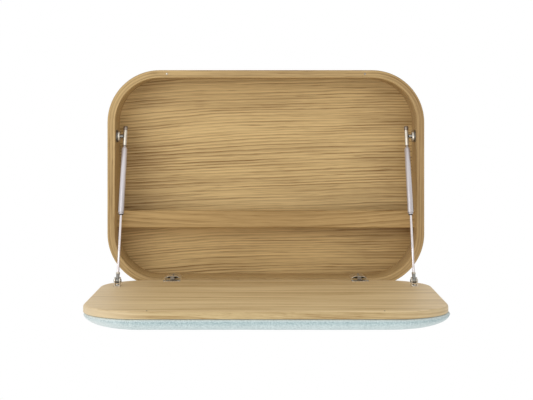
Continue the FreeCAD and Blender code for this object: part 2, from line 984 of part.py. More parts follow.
def hinge_screws():
    """Screws of the hinge cups in the flap and of the hinge plates on the cabinet floor."""
    upright = ((1, 0, 0), 0)
    seat = desk_top + size.cup_flange_thickness
    places = [((hole[0], hole[1], seat), *upright) for hole in cup_screws]
    copies("hinge_cup_screws", screw("cup_screw", size.short_screw_length), places)
    seat = floor + size.arm_thickness + size.plate_wall
    places = [
        ((hinge_x * side, y, seat), *upright) for side in ENDS for y in plate_screw_y
    ]
    copies("hinge_plate_screws", screw("plate_screw", size.plate_screw_length), places)


# Struts
upper_pivot = (upper_y, upper_z)
lower_pivot = (lower_y, lower_z)


def along_strut(body, side, pivot):
    """Lean a turned piece to the strut's line, with its own zero on a pivot."""
    place(body, (strut_x * side, pivot[0], pivot[1]), (1, 0, 0), strut_lean)
    return finish(body)


def strut_stud(side_name, side):
    """Round flange and neck on the side board, which carry the strut's upper end."""
    reach = size.strut_inset - size.panel_thickness - size.socket_radius - size.pivot_gap
    wide = size.flange_radius
    thick = size.flange_thickness
    bevel = size.flange_bevel
    body = turned(
        side_name + "_strut_stud",
        [
            (0, 0),
            (wide, 0),
            (wide, thick - bevel),
            (wide - bevel, thick),
            (size.neck_radius, thick),
            (size.neck_radius, reach),
            (0, reach),
        ],
    )
    holes = [(size.flange_screw_z * up, 0) for up in ENDS]
    bore(body, "XY_Plane", thick / 2, thick, holes, pilot_radius)
    place(body, (inner_half_width * side, upper_y, upper_z), (0, 1, 0), -QUARTER_TURN * side)
    return finish(body)


def stud_screws():
    """Screws of the strut studs."""
    seat = inner_half_width - size.flange_thickness
    places = [
        (
            (seat * side, upper_y, upper_z + size.flange_screw_z * up),
            (0, 1, 0),
            -QUARTER_TURN * side,
        )
        for side in ENDS
        for up in ENDS
    ]
    return copies("stud_screws", screw("stud_screw", size.short_screw_length), places)


def strut_socket(side_name, side):
    """Ball socket at the strut's upper end."""
    radius = size.socket_radius
    knob = size.socket_above - size.knob_length
    stub = size.stub_insert - size.socket_below
    body = turned(
        side_name + "_strut_socket",
        [
            (0, stub),
            (size.stub_radius, stub),
            (size.stub_radius, -size.socket_below),
            (radius, -size.socket_below),
            (radius, knob - size.knob_waist),
            (size.knob_radius, knob),
            (size.knob_radius, size.socket_above),
            (0, size.socket_above),
        ],
    )
    ball = size.ball_radius + size.ball_gap
    depth = ball + radius + size.ball_gap
    middle = (depth / 2 - ball) * side
    bore(body, "YZ_Plane", middle, depth, [(0, 0)], ball)
    return along_strut(body, side, upper_pivot)


def strut_ball(side_name, side):
    """Ball and shank held in the socket, in line with the stud's neck."""
    ball = doc.addObject("Part::Sphere", side_name + "_ball")
    bind(ball, "Radius", size.ball_radius)
    place(ball, (0, 0, 0), (0, 0, 1), QUARTER_TURN)
    shank = doc.addObject("Part::Cylinder", side_name + "_ball_shank")
    bind(shank, "Radius", size.ball_neck_radius)
    bind(shank, "Height", size.socket_radius)
    place(shank, (0, 0, 0), (0, 1, 0), QUARTER_TURN * side)
    body = joined("Part::Fuse", side_name + "_strut_ball", ball, shank)
    return along_strut(body, side, upper_pivot)


def strut_tube(side_name, side):
    """Pressure tube with a closed, shouldered top and a threaded stub."""
    outer = size.tube_radius
    inner = outer - size.tube_wall
    stub = size.stub_insert - size.socket_below
    start = -size.tube_start
    body = turned(
        side_name + "_strut_tube",
        [
            (0, stub),
            (0, start - size.tube_end_wall),
            (inner, start - size.tube_end_wall),
            (inner, -tube_end),
            (outer, -tube_end),
            (outer, start - size.tube_shoulder),
            (outer - size.tube_shoulder / 2, start),
            (size.stub_radius, start),
            (size.stub_radius, stub),
        ],
    )
    return along_strut(body, side, upper_pivot)


def strut_guide(side_name, side):
    """Rod guide and wiper ring in the tube's mouth."""
    plug = size.tube_radius - size.tube_wall
    hole = size.rod_radius + size.running_gap
    body = turned(
        side_name + "_strut_guide",
        [
            (hole, -tube_end - size.guide_ring),
            (size.guide_ring_radius, -tube_end - size.guide_ring),
            (size.guide_ring_radius, -tube_end),
            (plug, -tube_end),
            (plug, size.guide_length - tube_end),
            (hole, size.guide_length - tube_end),
        ],
    )
    return along_strut(body, side, upper_pivot)


piston_foot = strut_length - tube_end + size.guide_length + size.piston_setback
piston_head = piston_foot + size.piston_length
rod_foot = size.eye_radius + size.eye_shank_length - size.rod_insert
nut_foot = size.eye_radius + size.eye_shank_length - size.nut_length


def strut_rod(side_name, side):
    """Polished piston rod."""
    radius = size.rod_radius
    body = turned(
        side_name + "_strut_rod",
        [(0, rod_foot), (radius, rod_foot), (radius, piston_head), (0, piston_head)],
    )
    return along_strut(body, side, lower_pivot)


def strut_piston(side_name, side):
    """Piston on the inner end of the rod."""
    wide = size.tube_radius - size.tube_wall - size.piston_gap
    body = turned(
        side_name + "_strut_piston",
        [
            (size.rod_radius, piston_foot),
            (wide, piston_foot),
            (wide, piston_head),
            (size.rod_radius, piston_head),
        ],
    )
    return along_strut(body, side, lower_pivot)


def rod_end(side_name, side):
    """Eye at the rod's foot."""
    shank = size.eye_shank_radius
    body = turned(
        side_name + "_rod_end",
        [
            (0, 0),
            (shank, 0),
            (shank, nut_foot),
            (size.rod_radius, nut_foot),
            (size.rod_radius, rod_foot),
            (0, rod_foot),
        ],
    )
    sketch = new_sketch(body, "YZ_Plane")
    draw_circle(sketch, (0, 0), size.eye_radius)
    pad(body, sketch, size.eye_width, both_ways=True)
    hole = size.clevis_pin_radius + size.running_gap
    bore(body, "YZ_Plane", 0, size.eye_width, [(0, 0)], hole)
    return along_strut(body, side, lower_pivot)


def rod_nut(side_name, side):
    """Hexagon lock nut above the rod end."""
    body = new_body(side_name + "_rod_nut")
    sketch = new_sketch(body, "XY_Plane", nut_foot)
    flat = size.nut_radius
    rise = other_leg(flat, flat / 2)
    draw_outline(
        sketch,
        [
            (flat, 0),
            (flat / 2, rise),
            (-flat / 2, rise),
            (-flat, 0),
            (-flat / 2, -rise),
            (flat / 2, -rise),
        ],
    )
    pad(body, sketch, size.nut_length)
    middle = nut_foot + size.nut_length / 2
    bore(body, "XY_Plane", middle, size.nut_length, [(0, 0)], size.rod_radius)
    return along_strut(body, side, lower_pivot)


def strut_bracket(side_name, side):
    """Forked bracket on the flap, with two round-topped ears."""
    body = new_body(side_name + "_strut_bracket")
    ear = size.bracket_ear_radius
    base = desk_top + size.bracket_base
    half = size.bracket_length / 2
    middle = strut_x * side
    sketch = new_sketch(body, "YZ_Plane", middle)
    draw_rectangle(sketch, (lower_y - half, desk_top), (lower_y + half, base))
    pad(body, sketch, size.bracket_width, both_ways=True)
    sketch = new_sketch(body, "YZ_Plane", middle)
    draw_rectangle(sketch, (lower_y - ear, desk_top), (lower_y + ear, lower_z))
    pad(body, sketch, size.bracket_width, both_ways=True)
    sketch = new_sketch(body, "YZ_Plane", middle)
    draw_circle(sketch, (lower_y, lower_z), ear)
    pad(body, sketch, size.bracket_width, both_ways=True)
    slot = size.bracket_width / 2 - size.bracket_ear
    sketch = new_sketch(body, "XZ_Plane", lower_y)
    draw_rectangle(sketch, (middle - slot, base), (middle + slot, lower_z + ear * 2))
    cut(body, sketch, size.bracket_length)
    bore(body, "YZ_Plane", middle, size.bracket_width, [lower_pivot], size.clevis_pin_radius)
    holes = [hole for hole in bracket_screws if hole[0].value * side > 0]
    bore(body, "XY_Plane", desk_top + size.bracket_base / 2, size.bracket_base, holes, pilot_radius)
    return finish(body)


def clevis_pin(side_name, side):
    """Headed pin through the bracket ears and the rod end."""
    half = size.bracket_width / 2
    radius = size.clevis_pin_radius
    head = size.clevis_head_radius
    tip = half + size.clevis_head_thickness
    body = turned(
        side_name + "_clevis_pin",
        [
            (0, -tip),
            (head, -tip),
            (head, -half),
            (radius, -half),
            (radius, half),
            (head, half),
            (head, tip),
            (0, tip),
        ],
    )
    place(body, (strut_x * side, lower_y, lower_z), (0, 1, 0), QUARTER_TURN)
    return finish(body)


def bracket_fixings():
    """Screws of the strut brackets."""
    seat = desk_top + size.bracket_base
    places = [((hole[0], hole[1], seat), (1, 0, 0), 0) for hole in bracket_screws]
    return copies("bracket_screws", screw("bracket_screw", size.short_screw_length), places)


# Catches
def catch_magnets():
    """Round magnets set flush in the top board's front edge."""
    half = size.magnet_length / 2
    body = turned(
        "magnet",
        [(0, -half), (size.magnet_radius, -half), (size.magnet_radius, half), (0, half)],
    )
    places = [
        ((catch_x * side, front + half, catch_z), (1, 0, 0), QUARTER_TURN) for side in ENDS
    ]
    return copies("catch_magnets", body, places)


def strike_pins():
    """Small steel pins in the flap that meet the magnets."""
    head = size.strike_head_radius
    radius = size.strike_radius
    body = turned(
        "strike",
        [
            (0, -size.strike_length),
            (radius, -size.strike_length),
            (radius, 0),
            (head, 0),
            (head / 2, size.strike_head_height),
            (0, size.strike_head_height),
        ],
    )
    places = [((spot[0], spot[1], desk_top), (1, 0, 0), 0) for spot in strikes]
    return copies("strike_pins", body, places)


def build():
    """Make every sub-part."""
    top_board = level_panel("top_panel", 1)
    magnets = [(catch_x * side, catch_z) for side in ENDS]
    middle = front + size.magnet_length / 2
    hole = size.magnet_radius + size.catch_fit
    bore(top_board, "XZ_Plane", middle, size.magnet_length, magnets, hole)
    bottom_board = level_panel("bottom_panel", -1)
    depth = size.plate_screw_length - size.arm_thickness - size.plate_wall
    pilots = [(hinge_x * side, y) for side in ENDS for y in plate_screw_y]
    bore(bottom_board, "XY_Plane", floor - depth / 2, depth, pilots, pilot_radius)
    for side_name, side in SIDES:
        upright_panel(side_name + "_side_panel", side)
        corner_piece("top_" + side_name + "_corner", side, 1)
        corner_piece("bottom_" + side_name + "_corner", side, -1)
    corner_splines()
    back_panel()
    shelf_board()
    shelf_lip()
    shelf_dowels()
    wall_rail()
    hanging_rail()
    spacer_batten()
    cabinet_screws()
    flap_panel()
    padded_front()
    hinge_screws()
    stud_screws()
    bracket_fixings()
    catch_magnets()
    strike_pins()
    side_pieces = (
        hinge_cup, hinge_pin, hinge_arm, hinge_plate, strut_stud, strut_socket, strut_ball,
        strut_tube, strut_guide, strut_rod, strut_piston, rod_end, rod_nut, strut_bracket, clevis_pin,
    )
    for side_name, side in SIDES:
        for make in side_pieces:
            make(side_name, side)
    doc.recompute()


def write():
    """Check every object and write one file for each sub-part."""
    for thing in doc.Objects:
        if "Invalid" in thing.State or "Error" in thing.State:
            raise RuntimeError(f"{thing.Label} did not compute")
    os.makedirs("parts", exist_ok=True)
    for thing in finished:
        shape = thing.Shape
        if shape.isNull() or not shape.isValid():
            raise RuntimeError(f"{thing.Label} has no valid shape")
        shape.exportStep(f"parts/{thing.Label}.step")


build()
write()
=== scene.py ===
import math
from collections import namedtuple

import bmesh
import bpy
import numpy as np
from bpy.props import FloatProperty, FloatVectorProperty, IntProperty, PointerProperty
from mathutils import Matrix, Vector, noise


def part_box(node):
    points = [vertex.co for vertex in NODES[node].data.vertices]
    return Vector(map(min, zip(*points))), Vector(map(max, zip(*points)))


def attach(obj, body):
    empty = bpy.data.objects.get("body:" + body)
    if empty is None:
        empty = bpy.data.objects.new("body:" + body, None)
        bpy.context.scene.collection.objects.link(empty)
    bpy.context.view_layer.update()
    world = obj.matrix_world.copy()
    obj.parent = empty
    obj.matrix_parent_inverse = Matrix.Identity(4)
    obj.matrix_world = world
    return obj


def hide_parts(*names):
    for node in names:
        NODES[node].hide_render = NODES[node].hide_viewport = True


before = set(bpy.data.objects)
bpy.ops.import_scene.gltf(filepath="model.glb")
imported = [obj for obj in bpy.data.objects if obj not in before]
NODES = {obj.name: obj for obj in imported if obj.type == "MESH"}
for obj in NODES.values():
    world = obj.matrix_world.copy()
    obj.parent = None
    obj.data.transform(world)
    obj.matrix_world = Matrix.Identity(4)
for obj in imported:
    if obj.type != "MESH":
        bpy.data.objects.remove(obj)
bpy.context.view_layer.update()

bl_info = {
    "name": "Fold-down wall desk",
    "version": (1, 0, 0),
    "blender": (4, 5, 0),
    "location": "View3D > Sidebar > Wall Desk",
    "description": "Builds the looks of a rounded oak wall desk with a padded flap",
    "category": "Add Mesh",
}

MADE = {}
SIDES = ("left", "right")

# Screen colours that some finishes fade to, several of them painted light and painted shade
# Painted shade on the right of the cabinet frame's front
PAINTED_SHADE_OAK = (0.52, 0.39, 0.24)
# Painted light on the cabinet's right inner wall
PAINTED_LIGHT_OAK = (0.86, 0.78, 0.66)
# Painted sheen on the flap's two ends and its left edge
PAINTED_SHEEN_OAK = (0.92, 0.84, 0.70)
# White flecks of the wool, and the painted light on it
FLECK_AND_PAINTED_LIGHT_WOOL = (0.93, 0.96, 0.95)
# Darker plating: painted shade on the right magnet and the rods' feet, and the sockets' darker caps
DARKER_PLATING = (0.42, 0.35, 0.30)
# Painted light on the upper strut tubes
PAINTED_LIGHT_SILVER = (0.95, 0.93, 0.94)

# Lengths in metres
PLY = 0.0015
SAME_POINT = 1e-6
ON_AXIS = 1e-7
FLOOR_RADIUS = 1.6
FLOOR_MIDDLE = -0.35
LIGHT_AIM = (0.0, -0.2, -0.1)
EYE = (0.0028, -3.353, 0.091)

# Lens in millimetres, and its shift in frame widths
LENS = 86.1
SENSOR = 36.0
LENS_SHIFT = (-0.0009, -0.1441)

STUFFING_STEPS = 20


# Sizes and colours
def length(name, description, default):
    """A length that the user may change, in metres."""
    return FloatProperty(
        name=name, description=description, default=default, min=0.0,
        precision=4, subtype="DISTANCE", unit="LENGTH",
    )


def colour(name, description, *screen):
    """A colour that the user may change, from its three screen values."""
    return FloatVectorProperty(
        name=name, description=description, size=3, min=0.0, max=1.0,
        subtype="COLOR_GAMMA", default=[value / 255 for value in screen],
    )


class DeskSizes(bpy.types.PropertyGroup):
    """Sizes of the pieces that are modelled here."""

    edge_round: length("Edge round", "Rounding of the cabinet board's front edges", 0.0012)
    corner_steps: IntProperty(
        name="Corner steps", description="Facets in each rounded cabinet corner", default=28, min=6
    )
    back_fit: length("Back panel fit", "Gap between the back panel and its rebate", 0.0003)
    flap_round: length("Flap round", "Rounding of the flap's upper edge in the part", 0.003)
    flap_soften: FloatProperty(
        name="Flap softening", description="How much wider that rounding is at the front",
        default=2.0, min=1.0,
    )
    pad_inset: length("Pad inset", "How much smaller the pad is before it swells", 0.0012)
    pad_upper: length("Pad upper roll", "Rounding of the pad's edge against the flap", 0.004)
    pad_lower: length("Pad lower roll", "How far the pad's outer edge curves in", 0.026)
    pad_shift: length("Pad shift", "How far the pad was fitted to the right of the board", 0.0022)
    pad_end_roll: length("Pad end roll", "How much further its two ends curve in", 0.026)
    pad_drop: length("Pad drop", "How far the stuffing hangs below the foam's own face", 0.0044)
    pad_voxel: length("Pad mesh", "Spacing of the pad's cloth mesh", 0.006)
    pad_crown: length("Pad crown", "Most that the pad's face may swell", 0.0022)
    pad_tuck: length("Pad tuck", "Most that the pad's edge may be pulled in", 0.0004)
    pad_dent: length("Pad dents", "Depth of the soft unevenness in the pad", 0.00035)
    recess_width: length("Recess width", "Width of the cross recess in a screw head", 0.0007)
    recess_depth: length("Recess depth", "Depth of the cross recess in a screw head", 0.0008)
    metal_bevel: length("Metal bevel", "Bevel on the hardware's sharp edges", 0.00025)
    rim_base: length("Stud rim base", "How far the stud's rim stands off the side board", 0.0048)
    rim_height: length("Stud rim height", "How far the rim rises above the stud's flange", 0.0040)
    rim_width: length("Stud rim width", "Width of the rim round the stud's flange", 0.0026)
    pin_head: length("Pin head", "Radius of the clevis pin's domed heads", 0.005)
    pin_dome: length("Pin dome", "Height of those heads above the bracket's ears", 0.0024)
    pin_seat: length("Pin seat", "How far those heads are let into the ears", 0.0003)
    desk_height: length("Desk height", "Height of the writing surface above the floor", 0.73)


class DeskColours(bpy.types.PropertyGroup):
    """Colours of the finishes."""

    oak_light: colour("Oak, light", "Late wood inside the cabinet", 217, 187, 131)
    oak_dark: colour("Oak, dark", "Early wood inside the cabinet", 118, 84, 38)
    lip_light: colour("Lip, light", "Late wood of the shelf's lip", 200, 167, 112)
    lip_dark: colour("Lip, dark", "Early wood of the shelf's lip", 126, 94, 46)
    rim_light: colour("Rim, light", "Late wood of the cabinet's frame", 199, 169, 117)
    rim_dark: colour("Rim, dark", "Early wood of the cabinet's frame", 122, 92, 52)
    desk_light: colour("Desk, light", "Late wood of the writing surface", 225, 200, 153)
    desk_dark: colour("Desk, dark", "Early wood of the writing surface", 170, 139, 88)
    edge_light: colour("Edge, light", "Late wood of the flap's edge", 198, 175, 129)
    edge_dark: colour("Edge, dark", "Early wood of the flap's edge", 138, 106, 56)
    wool_pale: colour("Wool, pale", "Light fibres of the fabric", 190, 207, 208)
    wool_deep: colour("Wool, deep", "Dark fibres of the fabric", 108, 138, 144)
    plywood: colour("Plywood", "Birch plies of the hidden boards", 206, 178, 138)
    tube_paint: colour("Tube paint", "Silver paint of the strut tubes", 192, 187, 189)
    nickel: colour("Nickel", "Plating of the nuts and the catch magnets", 190, 181, 166)
    bright: colour("Bright nickel", "Plating of the hinges and strut brackets", 210, 202, 188)
    zinc: colour("Zinc", "Plating of the pins, studs and screws", 142, 140, 134)
    chrome: colour("Chrome", "Polished piston rods", 228, 221, 222)
    burnished: colour("Burnished steel", "Hinge arms and strike pins", 114.75, 104.55, 91.8)
    seal: colour("Seal", "Wipers and pistons of the struts", 34, 33, 33)


def linear(values):
    """Screen values as the scene's own colour, with full opacity."""
    shares = [v / 12.92 if v <= 0.04045 else ((v + 0.055) / 1.055) ** 2.4 for v in values]
    return (*shares, 1.0)


def darker(tone, share):
    """A share of a colour's light, with full opacity."""
    return (*(value * share for value in tone[:3]), 1.0)


# Shader arithmetic
class Signal:
    """One output socket of a finish, which takes part in Python arithmetic."""

    def __init__(self, finish, socket):
        self.finish = finish
        self.socket = socket

    def maths(self, operation, *values):
        """Add one Math node."""
        return self.finish.node("Math", {"operation": operation}, dict(enumerate(values)))

    def __add__(self, other):
        return self.maths("ADD", self, other)

    def __radd__(self, other):
        return self.maths("ADD", other, self)

    def __sub__(self, other):
        return self.maths("SUBTRACT", self, other)

    def __rsub__(self, other):
        return self.maths("SUBTRACT", other, self)

    def __mul__(self, other):
        return self.maths("MULTIPLY", self, other)

    def __rmul__(self, other):
        return self.maths("MULTIPLY", other, self)

    def __truediv__(self, other):
        return self.maths("DIVIDE", self, other)

    def __rtruediv__(self, other):
        return self.maths("DIVIDE", other, self)

    def __pow__(self, other):
        return self.maths("POWER", self, other)

    def __abs__(self):
        return self.maths("ABSOLUTE", self)

    def fraction(self):
        """The part after the whole number."""
        return self.maths("FRACT", self)

    def whole(self):
        """The whole number below."""
        return self.maths("FLOOR", self)

    def rise(self, low, high):
        """Smooth step from 0 at low to 1 at high."""
        settings = {"interpolation_type": "SMOOTHSTEP"}
        inputs = {"Value": self, "From Min": low, "From Max": high}
        return self.finish.node("MapRange", settings, inputs)


class Finish:
    """A material or a world under construction."""

    def __init__(self, name, kind="materials"):
        self.holder = getattr(bpy.data, kind).new(name)
        self.holder.use_nodes = True
        self.tree = self.holder.node_tree
        self.tree.nodes.clear()

    def node(self, kind, settings, inputs, output=0):
        """Add a node of one type, set it, fill or link its sockets, and give one output."""
        made = self.tree.nodes.new("ShaderNode" + kind)
        for name, value in settings.items():
            setattr(made, name, value)
        for key, value in inputs.items():
            if isinstance(value, Signal):
                self.tree.links.new(value.socket, made.inputs[key])
            else:
                made.inputs[key].default_value = value
        return Signal(self, made.outputs[output]) if made.outputs else None

    def parts(self, vector):
        """The three numbers of a vector."""
        split = self.node("SeparateXYZ", {}, {0: vector}).socket.node
        return [Signal(self, socket) for socket in split.outputs]

    def point(self):
        """The place on the piece, in metres, which moves with it."""
        return self.parts(self.node("TexCoord", {}, {}, "Object"))

    def facing(self):
        """The way the surface faces, in the piece's own directions."""
        return self.parts(self.node("TexCoord", {}, {}, "Normal"))

    def noise(self, along, across, depth, detail, roughness=0.5):
        """Soft noise about one half, over three scaled coordinates."""
        place = self.node("CombineXYZ", {}, {0: along, 1: across, 2: depth})
        inputs = {"Vector": place, "Scale": 1.0, "Detail": detail, "Roughness": roughness}
        return self.node("TexNoise", {}, inputs)

    def speckle(self, scale, detail, roughness=0.5):
        """Soft noise about zero, at one scale all round."""
        return self.noise(*(part * scale for part in self.point()), detail, roughness) - 0.5

    def blend(self, share, first, second):
        """Mix two colours."""
        return self.node("Mix", {"data_type": "RGBA"}, {0: share, 6: first, 7: second}, 2)

    def relief(self, height, distance, strength):
        """Bump the surface."""
        inputs = {"Height": height, "Distance": distance, "Strength": strength}
        return self.node("Bump", {}, inputs)

    def surface(self, inputs):
        """Close the finish with its shader."""
        shader = self.node("BsdfPrincipled", {}, inputs)
        self.node("OutputMaterial", {}, {"Surface": shader})
        return self.holder


# Finishes
# Growth rings per metre and how far they sway, fine streaks per metre across and along the grain,
# and the strengths of the rings, of the streaks and of the broad bands
Grain = namedtuple("Grain", "rings sway streaks run ring streak band")


def woods(colours, kind):
    """Late and early wood of one kind of oak."""
    return [linear(getattr(colours, f"{kind}_{age}")) for age in ("light", "dark")]


def oak(finish, place, tones, grain, arch=0.0, tone=0.0):
    """Colour, gloss and relief of oak.

    The place is the coordinate along the grain and the two across it. The arch bends the grain, and
    the tone makes the wood darker, or paler where it is below zero.
    """
    along, across, depth = place
    slow = finish.noise(along * 1.4, across * 5.0, depth * 5.0, 1.0) - 0.5
    ripple = finish.noise(along * 9.0, across * 26.0, depth * 26.0, 2.0, 0.6) - 0.5
    line = across + slow * grain.sway + ripple * (grain.sway * 0.15) + arch
    wander = finish.noise(along * 0.7, line * 24.0, depth * 24.0, 1.0)
    phase = line * grain.rings + wander * 1.6
    weight = finish.noise(along * 3.0, phase.whole() * 5.3, depth * 3.0, 1.0).rise(0.1, 0.75)
    early = phase.fraction() ** 2.2 * weight - 0.14
    run, fine, deep = along * grain.run, line * grain.streaks, depth * grain.streaks
    streak = finish.noise(run * 3.0, fine * 0.55, deep, 3.0, 0.7) - 0.5
    vein = finish.noise(run, fine * 1.5, deep, 2.0, 0.6).rise(0.5, 0.7) - 0.4
    dash = finish.noise(run * 9.0, fine * 1.7, deep, 1.0).rise(0.58, 0.74)
    band = finish.noise(along * 1.8, line * 12.0, depth * 12.0, 1.0) - 0.5
    pore = finish.noise(along * 34.0, line * 1900.0, depth * 1900.0, 0.0).rise(0.58, 0.72)
    fibre = streak * 0.8 + vein * 0.2 + dash * 0.26 - 0.03
    shade = early * grain.ring + fibre * grain.streak + band * grain.band
    return {
        "Base Color": finish.blend(shade + pore * 0.1 + (tone + 0.36), *tones),
        "Roughness": 0.5 + streak * 0.16 + pore * 0.18,
        "Normal": finish.relief(0.0 - early * 0.4 - pore - dash * 0.6, 0.00014, 0.4),
        "Specular IOR Level": 0.3,
    }


def cabinet_oak(colours):
    """Oak of the cabinet's rounded frame, with the grain running round it. Painted shade darkens
    the right of its front, and painted light pales its right inner wall.
    """
    finish = Finish("cabinet_oak")
    around, across, _ = finish.parts(finish.node("UVMap", {"uv_map": "grain"}, {}))
    grain = Grain(rings=150.0, sway=0.014, streaks=300.0, run=1.8, ring=0.8, streak=1.6, band=0.5)
    looks = oak(finish, (around, across, 0.0), woods(colours, "rim"), grain)
    front = (0.0 - finish.facing()[1]).rise(0.3, 0.8)
    right = finish.point()[0].rise(0.28, 0.42)
    # Painted shade: the right of the frame's front is darkened, where less of the key light from
    # the left falls
    shaded_right = finish.blend(right * front * 0.46, looks["Base Color"], linear(PAINTED_SHADE_OAK))
    # Painted light: the right inner wall is paled, as if lit by the key light from the left
    pale = right * (1.0 - front) * 0.12
    return finish.surface({**looks, "Base Color": finish.blend(pale, shaded_right, linear(PAINTED_LIGHT_OAK))})


def back_oak(colours):
    """Bold, wavy oak veneer of the back panel, with two pale bands, and painted shade darkening its
    sides and lower right.
    """
    finish = Finish("back_oak")
    x, y, z = finish.point()
    tilt = x * x * 0.045 - x * 0.036
    middle = 1.0 - abs(x).rise(0.17, 0.33)
    crest = 1.0 - abs(z - 0.165).rise(0.01, 0.035)
    heart = (1.0 - abs(z + 0.018).rise(0.015, 0.05)) * (1.0 - x * 1.5)
    # Painted shade: darker towards both side walls and in the lower right, where the walls and the
    # shelf shade the back panel
    painted_lighting = abs(x).rise(0.2, 0.34) * 0.08 + x.rise(0.1, 0.3) * (0.0 - z).rise(0.02, 0.08) * 0.13
    tone = painted_lighting - middle * (crest + heart) * 0.2
    grain = Grain(rings=130.0, sway=0.03, streaks=330.0, run=1.6, ring=0.75, streak=1.3, band=1.1)
    return finish.surface(oak(finish, (x, z, y), woods(colours, "oak"), grain, tilt, tone))


def lip_oak(colours):
    """Oak of the shelf lip, with long arched figure."""
    finish = Finish("lip_oak")
    x, y, z = finish.point()
    bow = x * x * -0.11
    grain = Grain(rings=90.0, sway=0.025, streaks=210.0, run=2.0, ring=0.6, streak=0.9, band=0.7)
    return finish.surface(oak(finish, (x, z, y), woods(colours, "lip"), grain, bow))


def shelf_oak(colours):
    """Quiet oak of the shelf behind the lip."""
    finish = Finish("shelf_oak")
    grain = Grain(rings=110.0, sway=0.02, streaks=220.0, run=2.5, ring=0.5, streak=1.6, band=0.5)
    return finish.surface(oak(finish, finish.point(), woods(colours, "oak"), grain))


def desk_oak(colours):
    """Pale straight oak of the writing surface and its edge, with a painted sheen paling the left
    edge and both ends.
    """
    finish = Finish("desk_oak")
    x, y, z = finish.point()
    grain = Grain(rings=26.0, sway=0.05, streaks=75.0, run=0.9, ring=0.55, streak=1.1, band=0.6)
    face = oak(finish, (x, y, z), woods(colours, "desk"), grain)
    low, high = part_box("flap_panel")
    around = x.maths("ARCTAN2", x, (low.y + high.y) / 2 - y) * 0.5
    grain = Grain(rings=110.0, sway=0.012, streaks=330.0, run=2.6, ring=0.6, streak=1.6, band=0.8)
    band = oak(finish, (around, z + around * 0.03, 0.0), woods(colours, "edge"), grain)
    upward = abs(finish.facing()[2]).rise(0.55, 0.85)
    wood = finish.blend(upward, band["Base Color"], face["Base Color"])
    # Painted light: a sheen paling the left edge, towards the key light
    painted_edge_light = (0.0 - x).rise(0.20, 0.36) * (1.0 - upward) * 0.27
    # Painted light: a sheen paling both ends, more on the left
    painted_sheen = abs(x).rise(0.22, 0.42) * (0.38 - x * 0.2) + painted_edge_light
    painted_lighting = finish.blend(painted_sheen, wood, linear(PAINTED_SHEEN_OAK))
    return finish.surface({**face, "Base Color": painted_lighting})


def birch_plywood(colours):
    """Birch plywood of the hidden boards, with its plies at the edges."""
    finish = Finish("birch_plywood")
    x, y, z = finish.point()
    ply = (y / PLY).fraction().rise(0.42, 0.58)
    veneer = finish.noise(x * 6.0, z * 240.0, y * 400.0, 3.0) - 0.5
    edge = 1.0 - abs(finish.facing()[1]).rise(0.5, 0.8)
    shade = ply * edge * 0.55 + veneer * 0.6 + 0.18
    tone = linear(colours.plywood)
    return finish.surface({
        "Base Color": finish.blend(shade, tone, darker(tone, 0.62)),
        "Roughness": 0.62 + veneer * 0.2,
        "Normal": finish.relief(veneer, 0.0001, 0.4),
    })


def melange_wool(colours):
    """Felted wool cloth in mixed pale and grey-green fibres, with painted light paling its
    underside, its left end and the strip along its top.
    """
    finish = Finish("melange_wool")
    x, y, z = finish.point()
    cloud, tuft = finish.speckle(16.0, 2.0), finish.speckle(330.0, 3.0, 0.62)
    hair = finish.noise(x * 900.0, y * 1500.0, z * 1500.0, 2.0) - 0.5
    weft = finish.noise(x * 1500.0, y * 900.0, z * 900.0, 2.0) - 0.5
    shade = cloud * 0.25 + tuft * 2.3 + hair * 1.1 + weft * 1.1 + 0.34
    base = finish.blend(shade, linear(colours.wool_pale), linear(colours.wool_deep))
    fleck = finish.speckle(620.0, 0.0).rise(0.16, 0.28)
    under = 0.0 - finish.facing()[2]
    # Painted light: the downward faces are paled, as if lit from the floor below
    painted_underlight = under.rise(0.05, 0.75) * 0.3
    # Painted light: the left end is paled, apart from the very underside
    ends = (0.0 - x).rise(0.24, 0.40) * (1.0 - under.rise(0.85, 0.97)) * 0.36
    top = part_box("fabric_cover")[1].z
    # Painted light: the strip along the top is paled, lifting the shade of the groove against the
    # flap
    painted_seam_light = z.rise(top - 0.008, top - 0.002) * 0.4
    return finish.surface({
        # The white flecks and the painted light all blend to the same pale colour
        "Base Color": finish.blend(fleck * 0.3 + painted_underlight + ends + painted_seam_light, base, linear(FLECK_AND_PAINTED_LIGHT_WOOL)),
        "Roughness": 0.9 + hair * 0.12,
        "Normal": finish.relief(tuft + hair * 0.7 + weft * 0.7, 0.0011, 0.55),
        "Specular IOR Level": 0.2,
        "Sheen Weight": 0.35,
        "Sheen Roughness": 0.45,
    })


def strut_line():
    """Pivot at the top of the left strut, and the direction down to its clevis."""
    ball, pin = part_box("left_strut_ball"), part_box("left_clevis_pin")
    pivot = (ball[0] + ball[1]) / 2
    way = (pin[0] + pin[1]) / 2 - pivot
    way.x = 0.0
    return pivot, way.normalized()


def tube_paint(colours):
    """Silver paint of the strut tubes, with a fine flake, and painted light paling it towards the
    top, more on the left tube.
    """
    finish = Finish("tube_paint")
    x, _, z = finish.point()
    flake, smear = finish.speckle(1600.0, 2.0), finish.speckle(40.0, 2.0)
    tone = linear(colours.tube_paint)
    silver = finish.blend(flake + smear * 0.4 + 0.2, tone, darker(tone, 0.7))
    # Painted light: paler towards the top, lifting the side board's shade there, and more on the
    # left tube, towards the key light
    wear_and_painted_light = z.rise(-0.12, 0.02) * (0.4 - x * 0.3)
    return finish.surface({
        "Base Color": finish.blend(wear_and_painted_light, silver, linear(PAINTED_LIGHT_SILVER)),
        "Roughness": 0.42 + smear * 0.1,
        "Metallic": 0.6 + flake * 0.2,
        "Normal": finish.relief(flake, 0.00003, 0.2),
        "Coat Weight": 0.25,
        "Coat Roughness": 0.2,
    })


